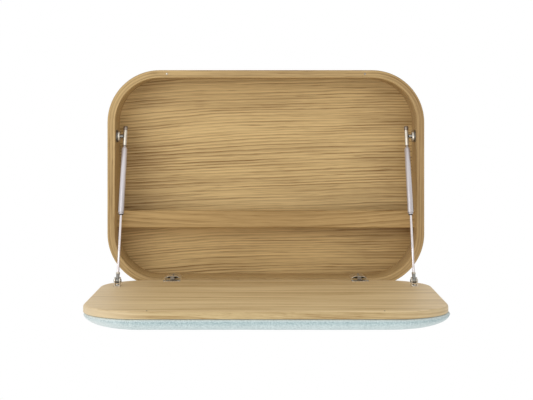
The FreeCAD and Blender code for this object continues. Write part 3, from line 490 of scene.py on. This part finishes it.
def collar_paint(colours):
    """Silver collar at the foot of a strut's tube, with the dark wiper in its end."""
    finish = Finish("collar_paint")
    flake = finish.speckle(1600.0, 2.0)
    way = strut_line()[1]
    facing = finish.facing()
    end = (facing[1] * way.y + facing[2] * way.z).rise(0.3, 0.6)
    tone = linear(colours.tube_paint)
    silver = finish.blend(flake + 0.35, tone, darker(tone, 0.6))
    return finish.surface({
        "Base Color": finish.blend(end, silver, linear(colours.seal)),
        "Roughness": 0.44 + flake * 0.12 + end * 0.1,
        "Metallic": (1.0 - end) * 0.6,
        "Normal": finish.relief(flake, 0.00003, 0.2),
    })


def dark_nylon(colours):
    """Dark moulded plastic with a fine grain and some dust."""
    finish = Finish("dark_nylon")
    grain, dust = finish.speckle(1200.0, 2.0), finish.speckle(160.0, 3.0)
    tone = linear(colours.seal)
    pale = (*(min(1.0, value * 2.2 + 0.01) for value in tone[:3]), 1.0)
    return finish.surface({
        "Base Color": finish.blend(dust.rise(0.0, 0.35) * 0.5, tone, pale),
        "Roughness": 0.42 + dust * 0.2,
        "Normal": finish.relief(grain, 0.00005, 0.4),
    })


def cap_share(place):
    """Share of darker plating on a strut's socket, which is highest on the cap above its pivot,
    with a dark line where the cap meets the shaft.
    """
    pivot, way = strut_line()
    above = (pivot.y - place[1]) * way.y + (pivot.z - place[2]) * way.z
    groove = 1.0 - abs(above - 0.0155).rise(0.0006, 0.0014)
    return above.rise(0.0150, 0.0165) * 0.7 + groove * 0.3


def painted_shade_right_share(place):
    """Share of painted shade on the catch magnets, which darkens the right one as if its reflection
    were fainter.
    """
    # Painted shade: the right magnet is darkened
    return place[0].rise(0.1, 0.2) * 0.55


def painted_shade_foot_share(place):
    """Share of painted shade on the piston rods, which dims their reflection towards the flap."""
    # Painted shade: the rods' reflection is dimmed towards their feet
    return (0.0 - place[2]).rise(0.2, 0.26) * 0.28


def plated(name, tone, roughness, brushing, corner_shade_amount=1.0, darkening=None):
    """Bright plated steel with faint brushing, handling marks and painted shade darkening its
    corners.

    Where a share is given, it takes the place on the piece and gives how far the plating is
    darkened; on the magnets and the rods this is painted shade.
    """
    finish = Finish(name)
    x, y, z = finish.point()
    # Ambient occlusion finds the corners and hollows for the painted shade below
    corner = finish.node("AmbientOcclusion", {"samples": 8}, {"Distance": 0.006}, "AO")
    brush = finish.noise(x * 900.0, y * 120.0, z * 900.0, 2.0) - 0.5
    smear = finish.speckle(60.0, 3.0)
    wear_and_painted_light = finish.blend(smear.rise(-0.1, 0.4) * 0.6, tone, darker(tone, 0.72))
    # Darkened plating where a share is given: painted shade on the right magnet and the rods' feet,
    # and the sockets' darker caps
    if darkening is not None:
        wear_and_painted_light = finish.blend(darkening((x, y, z)), wear_and_painted_light, linear(DARKER_PLATING))
    # Painted shade: corners and hollows are darkened
    painted_corner_shade = (1.0 - corner.rise(0.1, 0.75)) * corner_shade_amount
    return finish.surface({
        "Base Color": finish.blend(painted_corner_shade, wear_and_painted_light, darker(tone, 0.16)),
        "Roughness": roughness + brush * brushing + smear * 0.1,
        "Metallic": 0.82,
        "Normal": finish.relief(brush, 0.00004, 0.3),
    })


def seen(finish):
    """One for rays from the camera, from gloss and through glass, and zero for the rest."""
    kinds = ("Camera", "Glossy", "Transmission")
    rays = [finish.node("LightPath", {}, {}, f"Is {kind} Ray") for kind in kinds]
    return rays[0].maths("MINIMUM", sum(rays[1:], rays[0]), 1.0)


def floor_finish():
    """Pale floor that keeps a soft shadow and fades into the white room."""
    finish = Finish("pale_floor")
    x, y, _ = finish.point()
    away = (x * x + y * y) ** 0.5
    mottle = finish.speckle(3.0, 2.0) * 0.1 + 0.5
    tone = finish.blend(mottle, (0.86, 0.86, 0.86, 1.0), (0.9, 0.9, 0.9, 1.0))
    plain = finish.node("BsdfPrincipled", {}, {"Base Color": tone, "Roughness": 0.9})
    white = finish.node("Emission", {}, {"Color": (1.0, 1.0, 1.0, 1.0), "Strength": 1.0})
    direct = seen(finish)
    share = direct * (away.rise(0.5, 1.5) * 0.45 + 0.55) + (1.0 - direct) * 0.95
    mixed = finish.node("MixShader", {}, {0: share, 1: plain, 2: white})
    finish.node("OutputMaterial", {}, {"Surface": mixed})
    return finish.holder


def studio_world():
    """White room for the camera and for gloss, and an even soft light for the rest."""
    room = Finish("studio", "worlds")
    soft = room.node("Background", {}, {"Color": (1.0, 0.99, 0.98, 1.0), "Strength": 0.72})
    white = room.node("Background", {}, {"Color": (1.0, 1.0, 1.0, 1.0), "Strength": 1.0})
    mixed = room.node("MixShader", {}, {0: seen(room), 1: soft, 2: white})
    room.node("OutputWorld", {}, {"Surface": mixed})
    return room.holder


MAKERS = {
    maker.__name__: maker
    for maker in (
        cabinet_oak, back_oak, lip_oak, shelf_oak, desk_oak,
        birch_plywood, melange_wool, tube_paint, collar_paint, dark_nylon,
    )
}

# Colour, roughness, brushing, painted shade in the corners, and where the plating is darkened
PLATINGS = {
    "nickel_plate": ("nickel", 0.36, 0.12),
    "socket_nickel": ("bright", 0.36, 0.12, 1.0, cap_share),
    "magnet_nickel": ("nickel", 0.09, 0.04, 1.0, painted_shade_right_share),
    "bright_nickel": ("bright", 0.24, 0.1, 0.5),
    "polished_nickel": ("bright", 0.1, 0.04, 0.4),
    "satin_steel": ("zinc", 0.34, 0.16),
    "zinc_plate": ("zinc", 0.3, 0.1),
    "rod_chrome": ("chrome", 0.09, 0.04, 1.0, painted_shade_foot_share),
    "burnished_steel": ("burnished", 0.42, 0.1),
}


def finish_of(name):
    """A finish by name, made on first use."""
    colours = bpy.context.scene.desk_colours
    if name not in MADE and name in PLATINGS:
        tone, *values = PLATINGS[name]
        MADE[name] = plated(name, linear(getattr(colours, tone)), *values)
    elif name not in MADE:
        MADE[name] = MAKERS[name](colours)
    return MADE[name]


# Mesh helpers
def placed(name, data):
    """A new object in the scene."""
    thing = bpy.data.objects.new(name, data)
    bpy.context.scene.collection.objects.link(thing)
    return thing


def mesh_of(name, form, outward=False):
    """Turn a form into a mesh, with its faces outward where asked."""
    if outward:
        bmesh.ops.recalc_face_normals(form, faces=form.faces)
    mesh = bpy.data.meshes.new(name)
    form.to_mesh(mesh)
    form.free()
    return mesh


def worked(piece):
    """The piece's mesh with its modifiers applied."""
    graph = bpy.context.evaluated_depsgraph_get()
    return bpy.data.meshes.new_from_object(piece.evaluated_get(graph), depsgraph=graph)


def dress(node, finish, bevel=0.0):
    """Give a CAD node its finish and, where asked, a fine bevel."""
    piece = NODES[node]
    piece.data.materials.clear()
    piece.data.materials.append(finish_of(finish))
    if bevel:
        weld = piece.modifiers.new("weld", "WELD")
        weld.merge_threshold = SAME_POINT
        edge = piece.modifiers.new("bevel", "BEVEL")
        edge.width = bevel
        edge.segments = 2
        edge.limit_method = "ANGLE"
        edge.angle_limit = math.radians(38)
        edge.harden_normals = True


def dress_sides(finishes, bevel):
    """Dress the like pieces on the left and on the right."""
    for side in SIDES:
        for piece, finish in finishes.items():
            dress(f"{side}_{piece}", finish, bevel)


def new_piece(name, mesh, finish, body, slot, *nodes):
    """Put a finished mesh on a body, in place of the CAD nodes that it stands for."""
    piece = placed(name, mesh)
    mesh.materials.clear()
    mesh.materials.append(finish_of(finish))
    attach(piece, body)
    if nodes:
        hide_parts(*nodes)
    return piece


def smooth(mesh, degrees):
    """Shade smooth, apart from edges sharper than an angle."""
    mesh.polygons.foreach_set("use_smooth", [True] * len(mesh.polygons))
    mesh.set_sharp_from_angle(angle=math.radians(degrees))
    mesh.update()


def quarter(centre, radius, start, steps):
    """Points of a quarter circle, with its start angle in degrees."""
    turns = [math.radians(start + 90.0 * i / steps) for i in range(steps + 1)]
    return [(centre[0] + radius * math.cos(t), centre[1] + radius * math.sin(t)) for t in turns]


def loop_path(half_wide, half_high, radius, steps):
    """Corner centre, outward direction and distance of each station round a rounded rectangle."""
    across, up = half_wide - radius, half_high - radius
    corners = [((across, -up), -90), ((across, up), 0), ((-across, up), 90), ((-across, -up), 180)]
    stations = [((0.0, -up), (0.0, -1.0), 0.0)]
    for centre, start in corners:
        for direction in quarter((0.0, 0.0), 1.0, start, steps):
            last_centre, last_direction, gone = stations[-1]
            turn = last_direction[0] * direction[1] - last_direction[1] * direction[0]
            step = math.dist(last_centre, centre) + radius * math.asin(max(-1.0, min(1.0, turn)))
            stations.append((centre, direction, gone + step))
    stations.append((*stations[0][:2], stations[-1][2] + across))
    return stations


def sweep(name, stations, radius, profile, place, capped=False):
    """Carry an (inward, along) profile round a closed path, with its grain unrolled.

    The profile is made for each direction. It closes on itself, or its two ends are capped.
    """
    form = bmesh.new()
    grain = form.loops.layers.uv.new("grain")
    rings = []
    for centre, direction, _ in stations[:-1]:
        ring = []
        for inward, along in profile(direction):
            reach = radius - inward
            spot = place(centre[0] + direction[0] * reach, along, centre[1] + direction[1] * reach)
            ring.append(form.verts.new(spot))
        rings.append(ring)
    rings.append(rings[0])
    points = profile(stations[0][1])
    girth = [0.0]
    for first, second in zip(points, points[1:] + points[:1]):
        girth.append(girth[-1] + math.dist(first, second))
    count = len(points)
    for k in range(len(stations) - 1):
        for j in range(count - 1 if capped else count):
            marks = [(k, j), (k + 1, j), (k + 1, j + 1), (k, j + 1)]
            face = form.faces.new([rings[station][step % count] for station, step in marks])
            for corner, (station, step) in zip(face.loops, marks):
                corner[grain].uv = (stations[station][2], girth[step])
    if capped:
        form.faces.new([ring[0] for ring in rings[:-1]])
        form.faces.new([ring[-1] for ring in rings[:-1]])
    return mesh_of(name, form, outward=True)


def spun(name, outline, steps):
    """Turn a (radius, height) outline about Z into a closed mesh."""
    form = bmesh.new()
    turns = [math.tau * i / steps for i in range(steps)]
    rings = []
    for radius, height in outline:
        if radius < ON_AXIS:
            spots = [(0.0, 0.0, height)]
        else:
            spots = [(radius * math.cos(t), radius * math.sin(t), height) for t in turns]
        rings.append([form.verts.new(spot) for spot in spots])
    for low, high in zip(rings, rings[1:]):
        for i in range(steps):
            j = (i + 1) % steps
            pairs = ((low, i), (low, j), (high, j), (high, i))
            corners = [ring[at % len(ring)] for ring, at in pairs]
            form.faces.new(list(dict.fromkeys(corners)))
    bmesh.ops.remove_doubles(form, verts=form.verts, dist=ON_AXIS)
    return mesh_of(name, form, outward=True)


def cross_form(reach, wide, levels):
    """A cross-shaped cutter, whose two levels each have a height and a flare."""
    form = bmesh.new()
    rings = []
    for level, flare in levels:
        arm, edge = reach * flare, wide * (0.5 + flare / 2)
        corners = [(arm, -edge), (arm, edge), (edge, edge)]
        spots = []
        for turn in range(4):
            quarter_turn = Matrix.Rotation(turn * math.pi / 2, 2)
            spots += [quarter_turn @ Vector(corner) for corner in corners]
        rings.append([form.verts.new((*spot, level)) for spot in spots])
    count = len(rings[0])
    for i in range(count):
        j = (i + 1) % count
        form.faces.new((rings[0][i], rings[0][j], rings[1][j], rings[1][i]))
    for ring in rings:
        form.faces.new(ring)
    return mesh_of("cross", form, outward=True)


def screw_form(long, sizes):
    """A pan-head screw with a cross recess, its crown at the origin and its point down."""
    head, shank, high, point = 0.0024, 0.0014, 0.0011, 0.0025
    crown = ((1.0, 1.0), (1.0, 0.62), (0.9, 0.3), (0.6, 0.06), (0.0, 0.0))
    outline = [(0.0, -long), (shank, point - long), (shank, -high)]
    outline += [(head * out, -high * down) for out, down in crown]
    piece = placed("screw", spun("screw", outline, 28))
    levels = ((high, 1.6), (-sizes.recess_depth, 0.55))
    cutter = placed("cross", cross_form(head * 0.62, sizes.recess_width / 2, levels))
    recess = piece.modifiers.new("recess", "BOOLEAN")
    recess.object = cutter
    recess.operation = "DIFFERENCE"
    recess.solver = "EXACT"
    bpy.context.view_layer.update()
    mesh = worked(piece)
    for thing in (piece, cutter):
        bpy.data.objects.remove(thing)
    return mesh


def scattered(name, master, spots):
    """Copies of one mesh, each with its Z axis along a direction at a point."""
    form = bmesh.new()
    for index, (spot, direction) in enumerate(spots):
        turn = direction.to_track_quat("Z", "Y").to_matrix().to_4x4()
        spin = Matrix.Rotation(0.9 * index, 4, "Z")
        copy = master.copy()
        copy.transform(Matrix.Translation(spot) @ turn @ spin)
        form.from_mesh(copy)
        bpy.data.meshes.remove(copy)
    return mesh_of(name, form)


def closed_form(node):
    """A form of a CAD node's mesh, with its seams closed."""
    form = bmesh.new()
    form.from_mesh(NODES[node].data)
    bmesh.ops.remove_doubles(form, verts=form.verts, dist=SAME_POINT)
    return form


def loose_boxes(node):
    """Low and high corners of each separate solid in a CAD node."""
    form = closed_form(node)
    left = set(form.verts)
    boxes = []
    while left:
        group, border = set(), [left.pop()]
        while border:
            vert = border.pop()
            group.add(vert)
            for edge in vert.link_edges:
                other = edge.other_vert(vert)
                if other in left:
                    left.remove(other)
                    border.append(other)
        places = np.array([v.co for v in group])
        boxes.append((Vector(places.min(0)), Vector(places.max(0))))
    form.free()
    boxes.sort(key=lambda box: tuple(round(c, 5) for c in box[0]))
    return boxes


def beyond_outline(spots, low, high, radius):
    """How far points lie outside a rounded rectangle seen from above, and their way out of it."""
    centre, half = np.array((low + high) / 2)[:2], np.array((high - low) / 2)[:2]
    offset = spots[:, :2] - centre
    beyond = np.abs(offset) - (half - radius)
    rounded = beyond.min(1) > 0.0
    reach = np.maximum(np.hypot(*np.maximum(beyond, 0.0).T), 1e-9)
    out = np.where(rounded, reach, beyond.max(1)) - radius
    nearest = beyond == beyond.max(1)[:, None]
    share = np.where(rounded[:, None], np.maximum(beyond, 0.0) / reach[:, None], nearest)
    return out, np.sign(offset) * share


def places_of(mesh):
    """The vertices as rows of three numbers."""
    return np.array([vertex.co for vertex in mesh.vertices], float)


def move_to(mesh, spots):
    """Set the vertices from rows of three numbers."""
    mesh.vertices.foreach_set("co", spots.astype(np.float32).ravel())


def eased(mesh, values, rounds):
    """Values at the vertices, averaged with their neighbours a number of times."""
    ends = np.array([edge.vertices[:] for edge in mesh.edges])
    first, second = ends.T
    count = 1.0 + np.bincount(ends.ravel(), minlength=len(values))
    for _ in range(rounds):
        total = values.copy()
        np.add.at(total, first, values[second])
        np.add.at(total, second, values[first])
        values = total / count
    return values


def swell(piece, held):
    """Inflate the piece as stuffed cloth, with some of its points held."""
    group = piece.vertex_groups.new(name="held")
    group.add([int(i) for i in np.flatnonzero(held)], 1.0, "REPLACE")
    cloth = piece.modifiers.new("stuffing", "CLOTH")
    settings = cloth.settings
    settings.quality = 5
    settings.mass = 0.3
    settings.tension_stiffness = 60.0
    settings.compression_stiffness = 60.0
    settings.bending_stiffness = 3.0
    settings.use_pressure = True
    settings.uniform_pressure_force = 4.0
    settings.vertex_group_mass = group.name
    settings.effector_weights.gravity = 0.0
    cloth.point_cache.frame_start = 1
    cloth.point_cache.frame_end = STUFFING_STEPS
    for step in range(1, STUFFING_STEPS + 1):
        bpy.context.scene.frame_set(step)
    piece.data = worked(piece)
    piece.modifiers.clear()
    piece.vertex_groups.clear()
    bpy.context.scene.frame_set(1)


def corner_radius():
    """Outer radius of the cabinet's corners."""
    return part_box("right_side_panel")[1].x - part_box("top_panel")[1].x


def lamp(name, place, side, watts):
    """A square soft light that looks at the desk."""
    light = bpy.data.lights.new(name, "AREA")
    light.shape = "SQUARE"
    light.size = side
    light.energy = watts
    holder = placed(name, light)
    holder.location = place
    holder.rotation_mode = "QUATERNION"
    holder.rotation_quaternion = (Vector(LIGHT_AIM) - Vector(place)).to_track_quat("-Z", "Y")


# Operators
class DESK_OT_cabinet(bpy.types.Operator):
    """Model the rounded cabinet frame and finish the boards inside it"""

    bl_idname = "desk.cabinet"
    bl_label = "Cabinet"

    def execute(self, context):
        sizes = context.scene.desk_sizes
        low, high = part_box("left_side_panel")[0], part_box("right_side_panel")[1]
        base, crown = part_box("bottom_panel")[0].z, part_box("top_panel")[1].z
        front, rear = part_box("top_panel")[0].y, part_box("top_panel")[1].y
        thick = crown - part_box("top_panel")[0].z
        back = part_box("back_panel")
        rebate = high.x - back[1].x - sizes.back_fit
        soft = sizes.edge_round
        ease = soft / 2
        profile = [(0.0, rear - ease)]
        profile += quarter((soft, front + soft), soft, 180, 4)
        profile += quarter((thick - soft, front + soft), soft, 270, 4)
        profile += [(thick, back[0].y), (rebate, back[0].y), (rebate, rear - ease)]
        profile += [(rebate - ease, rear), (ease, rear)]
        middle = (base + crown) / 2
        radius = corner_radius()
        stations = loop_path((high.x - low.x) / 2, (crown - base) / 2, radius, sizes.corner_steps)
        mesh = sweep(
            "cabinet_frame", stations, radius, lambda direction: profile,
            lambda x, y, z: (x, y, z + middle),
        )
        smooth(mesh, 30.0)
        boards = ["top_panel", "bottom_panel"]
        boards += [side + "_side_panel" for side in SIDES]
        boards += [f"{level}_{side}_corner" for level in ("top", "bottom") for side in SIDES]
        new_piece("cabinet_frame", mesh, "cabinet_oak", "cabinet", "oak_carcass", *boards)
        dress("back_panel", "back_oak")
        dress("shelf_lip", "lip_oak")
        dress("shelf_board", "shelf_oak")
        rails = ("hanging_rail", "wall_rail", "spacer_batten")
        for node in ("corner_splines", "shelf_dowels", *rails):
            dress(node, "birch_plywood")
        return {"FINISHED"}


class DESK_OT_flap(bpy.types.Operator):
    """Soften the front arris of the flap's writing board and finish it"""

    bl_idname = "desk.flap"
    bl_label = "Flap"

    def execute(self, context):
        sizes = context.scene.desk_sizes
        low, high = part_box("flap_panel")
        reach = sizes.flap_round * 1.02
        mesh = mesh_of("writing_board", closed_form("flap_panel"))
        if "custom_normal" in mesh.attributes:
            mesh.attributes.remove(mesh.attributes["custom_normal"])
        spots = places_of(mesh)
        out, way = beyond_outline(spots, low, high, corner_radius())
        down = spots[:, 2] - high.z
        front = spots[:, 1] < (low.y + high.y) / 2
        grow = front * (out > -reach) * (down > -reach) * (sizes.flap_soften - 1.0)
        spots[:, :2] += way * (out * grow)[:, None]
        spots[:, 2] += down * grow
        move_to(mesh, spots)
        smooth(mesh, 30.0)
        new_piece("writing_board", mesh, "desk_oak", "flap", "oak_desk", "flap_panel")
        dress("pad_board", "birch_plywood")
        return {"FINISHED"}


class DESK_OT_pad(bpy.types.Operator):
    """Stuff the fabric pad on the flap's outer face"""

    bl_idname = "desk.pad"
    bl_label = "Pad"

    def execute(self, context):
        sizes = context.scene.desk_sizes
        low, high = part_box("fabric_cover")
        centre, half = (low + high) / 2, (high - low) / 2
        upper, top = sizes.pad_upper, high.z
        tall = top - upper - (low.z - sizes.pad_drop)
        under = quarter((0.0, 0.0), 1.0, 180, 10)[1:]

        def profile(direction):
            """The pad's edge, which rolls in further at the flap's two ends."""
            side = abs(direction[0]) ** 1.5
            inset = sizes.pad_inset - math.copysign(sizes.pad_shift * side, direction[0])
            lower = sizes.pad_lower + sizes.pad_end_roll * side
            edge = quarter((inset + upper, top - upper), upper, 90, 5)
            return edge + [(inset + lower * (1.0 + u), top - upper + tall * v) for u, v in under]

        radius = corner_radius() + half.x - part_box("flap_panel")[1].x
        stations = loop_path(half.x, half.y, radius, 20)
        mesh = sweep(
            "pad_cover", stations, radius, profile,
            lambda x, z, y: (x + centre.x, y + centre.y, z), capped=True,
        )
        piece = new_piece(
            "pad_cover", mesh, "melange_wool", "flap", "wool_fabric", "fabric_cover", "pad_foam"
        )
        remesh = piece.modifiers.new("remesh", "REMESH")
        remesh.mode = "VOXEL"
        remesh.voxel_size = sizes.pad_voxel
        piece.data = worked(piece)
        piece.modifiers.clear()
        start = places_of(piece.data)
        normals = np.array([vertex.normal for vertex in piece.data.vertices], float)
        swell(piece, start[:, 2] > top - sizes.pad_voxel / 2)
        moved = places_of(piece.data) - start
        push = eased(piece.data, (moved * normals).sum(1), 8)
        crown, tuck = sizes.pad_crown, sizes.pad_tuck
        out = crown * (1.0 - np.exp(-np.maximum(push, 0.0) / crown))
        back = tuck * (1.0 - np.exp(np.minimum(push, 0.0) / tuck))
        ends = start + normals * (out - back)[:, None]
        free = np.clip((top - ends[:, 2]) / (upper * 1.5), 0.0, 1.0)
        dents = [
            noise.noise(Vector(spot) * 16.0) + 0.5 * noise.noise(Vector(spot) * 41.0)
            for spot in ends
        ]
        ends[:, 2] += np.array(dents) * free * sizes.pad_dent
        ends[:, 2] = np.minimum(ends[:, 2], top)
        move_to(piece.data, ends)
        smooth(piece.data, 80.0)
        fine = piece.modifiers.new("fine", "SUBSURF")
        fine.levels = fine.render_levels = 1
        return {"FINISHED"}


class DESK_OT_hinges(bpy.types.Operator):
    """Finish the two cup hinges"""

    bl_idname = "desk.hinges"
    bl_label = "Hinges"

    def execute(self, context):
        finishes = {
            "hinge_cup": "polished_nickel",
            "hinge_arm": "burnished_steel",
            "hinge_plate": "polished_nickel",
            "hinge_pin": "satin_steel",
        }
        dress_sides(finishes, context.scene.desk_sizes.metal_bevel)
        return {"FINISHED"}


class DESK_OT_struts(bpy.types.Operator):
    """Finish the two gas struts with their studs and brackets"""

    bl_idname = "desk.struts"
    bl_label = "Struts"

    def execute(self, context):
        sizes = context.scene.desk_sizes
        finishes = {
            "strut_tube": "tube_paint",
            "strut_guide": "collar_paint",
            "strut_socket": "socket_nickel",
            "strut_ball": "satin_steel",
            "strut_stud": "satin_steel",
            "strut_rod": "rod_chrome",
            "strut_piston": "dark_nylon",
            "rod_end": "satin_steel",
            "rod_nut": "nickel_plate",
            "strut_bracket": "bright_nickel",
            "clevis_pin": "satin_steel",
        }
        dress_sides(finishes, sizes.metal_bevel)
        for side in SIDES:
            self.rim(side, sizes)
            self.pin_heads(side, sizes)
        return {"FINISHED"}

    def pin_heads(self, side, sizes):
        """Set a domed head on each end of one clevis pin."""
        pin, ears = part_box(side + "_clevis_pin"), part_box(side + "_strut_bracket")
        middle = (pin[0] + pin[1]) / 2
        dome = quarter((0.0, 0.0), 1.0, 0, 6)
        outline = [(0.0, -sizes.pin_seat), (sizes.pin_head, -sizes.pin_seat)]
        outline += [(sizes.pin_head * c, sizes.pin_dome * s) for c, s in dome]
        spots = []
        for corner, way in zip(ears, (-1.0, 1.0)):
            spots.append((Vector((corner.x, middle.y, middle.z)), Vector((way, 0.0, 0.0))))
        mesh = scattered(side + "_pin_heads", spun("pin_head", outline, 40), spots)
        smooth(mesh, 40.0)
        new_piece(side + "_pin_heads", mesh, "satin_steel", "flap", "satin_steel")

    def rim(self, side, sizes):
        """Raise a rounded rim round the flange of one stud."""
        low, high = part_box(side + "_strut_stud")
        inward = Vector((1.0 if side == "left" else -1.0, 0.0, 0.0))
        wall = low.x if side == "left" else high.x
        middle = Vector((wall, (low.y + high.y) / 2, (low.z + high.z) / 2))
        radius, wide = (high.y - low.y) / 2, sizes.rim_width
        base, top = sizes.rim_base, sizes.rim_base + sizes.rim_height
        soft = wide * 0.35
        outline = [(radius, base)]
        outline += quarter((radius - soft, top - soft), soft, 0, 4)
        outline += quarter((radius - wide + soft, top - soft), soft, 90, 4)
        outline += [(radius - wide, base), (radius, base)]
        mesh = scattered(side + "_stud_rim", spun("rim", outline, 64), [(middle, inward)])
        smooth(mesh, 40.0)
        new_piece(side + "_stud_rim", mesh, "bright_nickel", "cabinet", "nickel")


class DESK_OT_screws(bpy.types.Operator):
    """Model every screw with its cross recess"""

    bl_idname = "desk.screws"
    bl_label = "Screws"

    def execute(self, context):
        up, rear = Vector((0.0, 0.0, 1.0)), Vector((0.0, 1.0, 0.0))
        groups = {
            "hinge_cup_screws": ("flap", up),
            "bracket_screws": ("flap", up),
            "hinge_plate_screws": ("cabinet", up),
            "stud_screws": ("cabinet", None),
            "back_panel_screws": ("cabinet", rear),
            "rail_screws": ("cabinet", rear),
        }
        for node, (body, outward) in groups.items():
            boxes = loose_boxes(node)
            spots = []
            for low, high in boxes:
                middle, half = (low + high) / 2, (high - low) / 2
                # The studs' screws look into the cabinet
                inward = Vector((-math.copysign(1.0, middle.x), 0.0, 0.0))
                direction = inward if outward is None else outward
                tip = middle + direction * abs(half.dot(direction))
                spots.append((tip, direction))
            longest = max(high - low for low, high in boxes)
            master = screw_form(max(longest), context.scene.desk_sizes)
            mesh = scattered(node + "_set", master, spots)
            smooth(mesh, 32.0)
            new_piece(node + "_set", mesh, "zinc_plate", body, "zinc_screw", node)
        return {"FINISHED"}


class DESK_OT_catches(bpy.types.Operator):
    """Model the magnets in the top edge and finish their strike pins"""

    bl_idname = "desk.catches"
    bl_label = "Catches"

    def execute(self, context):
        boxes = loose_boxes("catch_magnets")
        low, high = boxes[0]
        radius, deep = (high.x - low.x) / 2, high.y - low.y
        proud, bevel, dish = 0.00025, 0.0003, 0.0002
        outline = [(0.0, -deep), (radius, -deep), (radius, -proud), (radius - bevel, 0.0)]
        outline += [(radius * 0.72, 0.0), (radius * 0.68, -dish)]
        outline += [(radius * 0.3, -dish / 2), (0.0, -dish / 2)]
        forward = Vector((0.0, -1.0, 0.0))
        spots = [((a + b) / 2 + forward * (deep / 2 + proud), forward) for a, b in boxes]
        mesh = scattered("catch_magnet_set", spun("magnet", outline, 32), spots)
        smooth(mesh, 32.0)
        new_piece("catch_magnet_set", mesh, "magnet_nickel", "cabinet", "magnet", "catch_magnets")
        dress("strike_pins", "burnished_steel")
        return {"FINISHED"}


class DESK_OT_stage(bpy.types.Operator):
    """Set the floor, the light and the camera"""

    bl_idname = "desk.stage"
    bl_label = "Stage"

    def execute(self, context):
        scene = context.scene
        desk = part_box("flap_panel")[1].z
        form = bmesh.new()
        bmesh.ops.create_circle(form, cap_ends=True, segments=96, radius=FLOOR_RADIUS)
        ground = placed("floor", mesh_of("floor", form))
        ground.location = (0.0, FLOOR_MIDDLE, desk - scene.desk_sizes.desk_height)
        ground.data.materials.append(floor_finish())
        scene.world = studio_world()
        lamp("key", (-1.5, -2.8, 0.9), side=1.8, watts=27.0)
        lamp("low_fill", (0.7, -2.6, -0.7), side=1.4, watts=9.0)
        lens = bpy.data.cameras.new("camera")
        lens.sensor_width = SENSOR
        lens.lens = LENS
        lens.shift_x, lens.shift_y = LENS_SHIFT
        eye = placed("camera", lens)
        eye.location = EYE
        eye.rotation_euler = (math.radians(90.0), 0.0, 0.0)
        scene.camera = eye
        scene.view_settings.view_transform = "Standard"
        return {"FINISHED"}


class DESK_PT_sidebar(bpy.types.Panel):
    """Lists the desk's sizes, colours and pieces"""

    bl_idname = "DESK_PT_sidebar"
    bl_label = "Wall Desk"
    bl_space_type = "VIEW_3D"
    bl_region_type = "UI"
    bl_category = "Wall Desk"

    def draw(self, context):
        column = self.layout.column(align=True)
        for operator in OPERATORS:
            column.operator(operator.bl_idname)
        for group in (context.scene.desk_sizes, context.scene.desk_colours):
            box = self.layout.box()
            for name in group.__annotations__:
                box.prop(group, name)


OPERATORS = (
    DESK_OT_cabinet,
    DESK_OT_flap,
    DESK_OT_pad,
    DESK_OT_hinges,
    DESK_OT_struts,
    DESK_OT_screws,
    DESK_OT_catches,
    DESK_OT_stage,
)
CLASSES = (DeskSizes, DeskColours, *OPERATORS, DESK_PT_sidebar)


def register():
    """Add the classes and the two groups of settings."""
    for kind in CLASSES:
        bpy.utils.register_class(kind)
    bpy.types.Scene.desk_sizes = PointerProperty(type=DeskSizes)
    bpy.types.Scene.desk_colours = PointerProperty(type=DeskColours)


def unregister():
    """Take them out again."""
    del bpy.types.Scene.desk_colours
    del bpy.types.Scene.desk_sizes
    for kind in reversed(CLASSES):
        bpy.utils.unregister_class(kind)


def main():
    """Build the desk and light it."""
    register()
    for operator in OPERATORS:
        group, name = operator.bl_idname.split(".")
        getattr(getattr(bpy.ops, group), name)()
    bpy.context.view_layer.update()


if __name__ == "__main__":
    main()
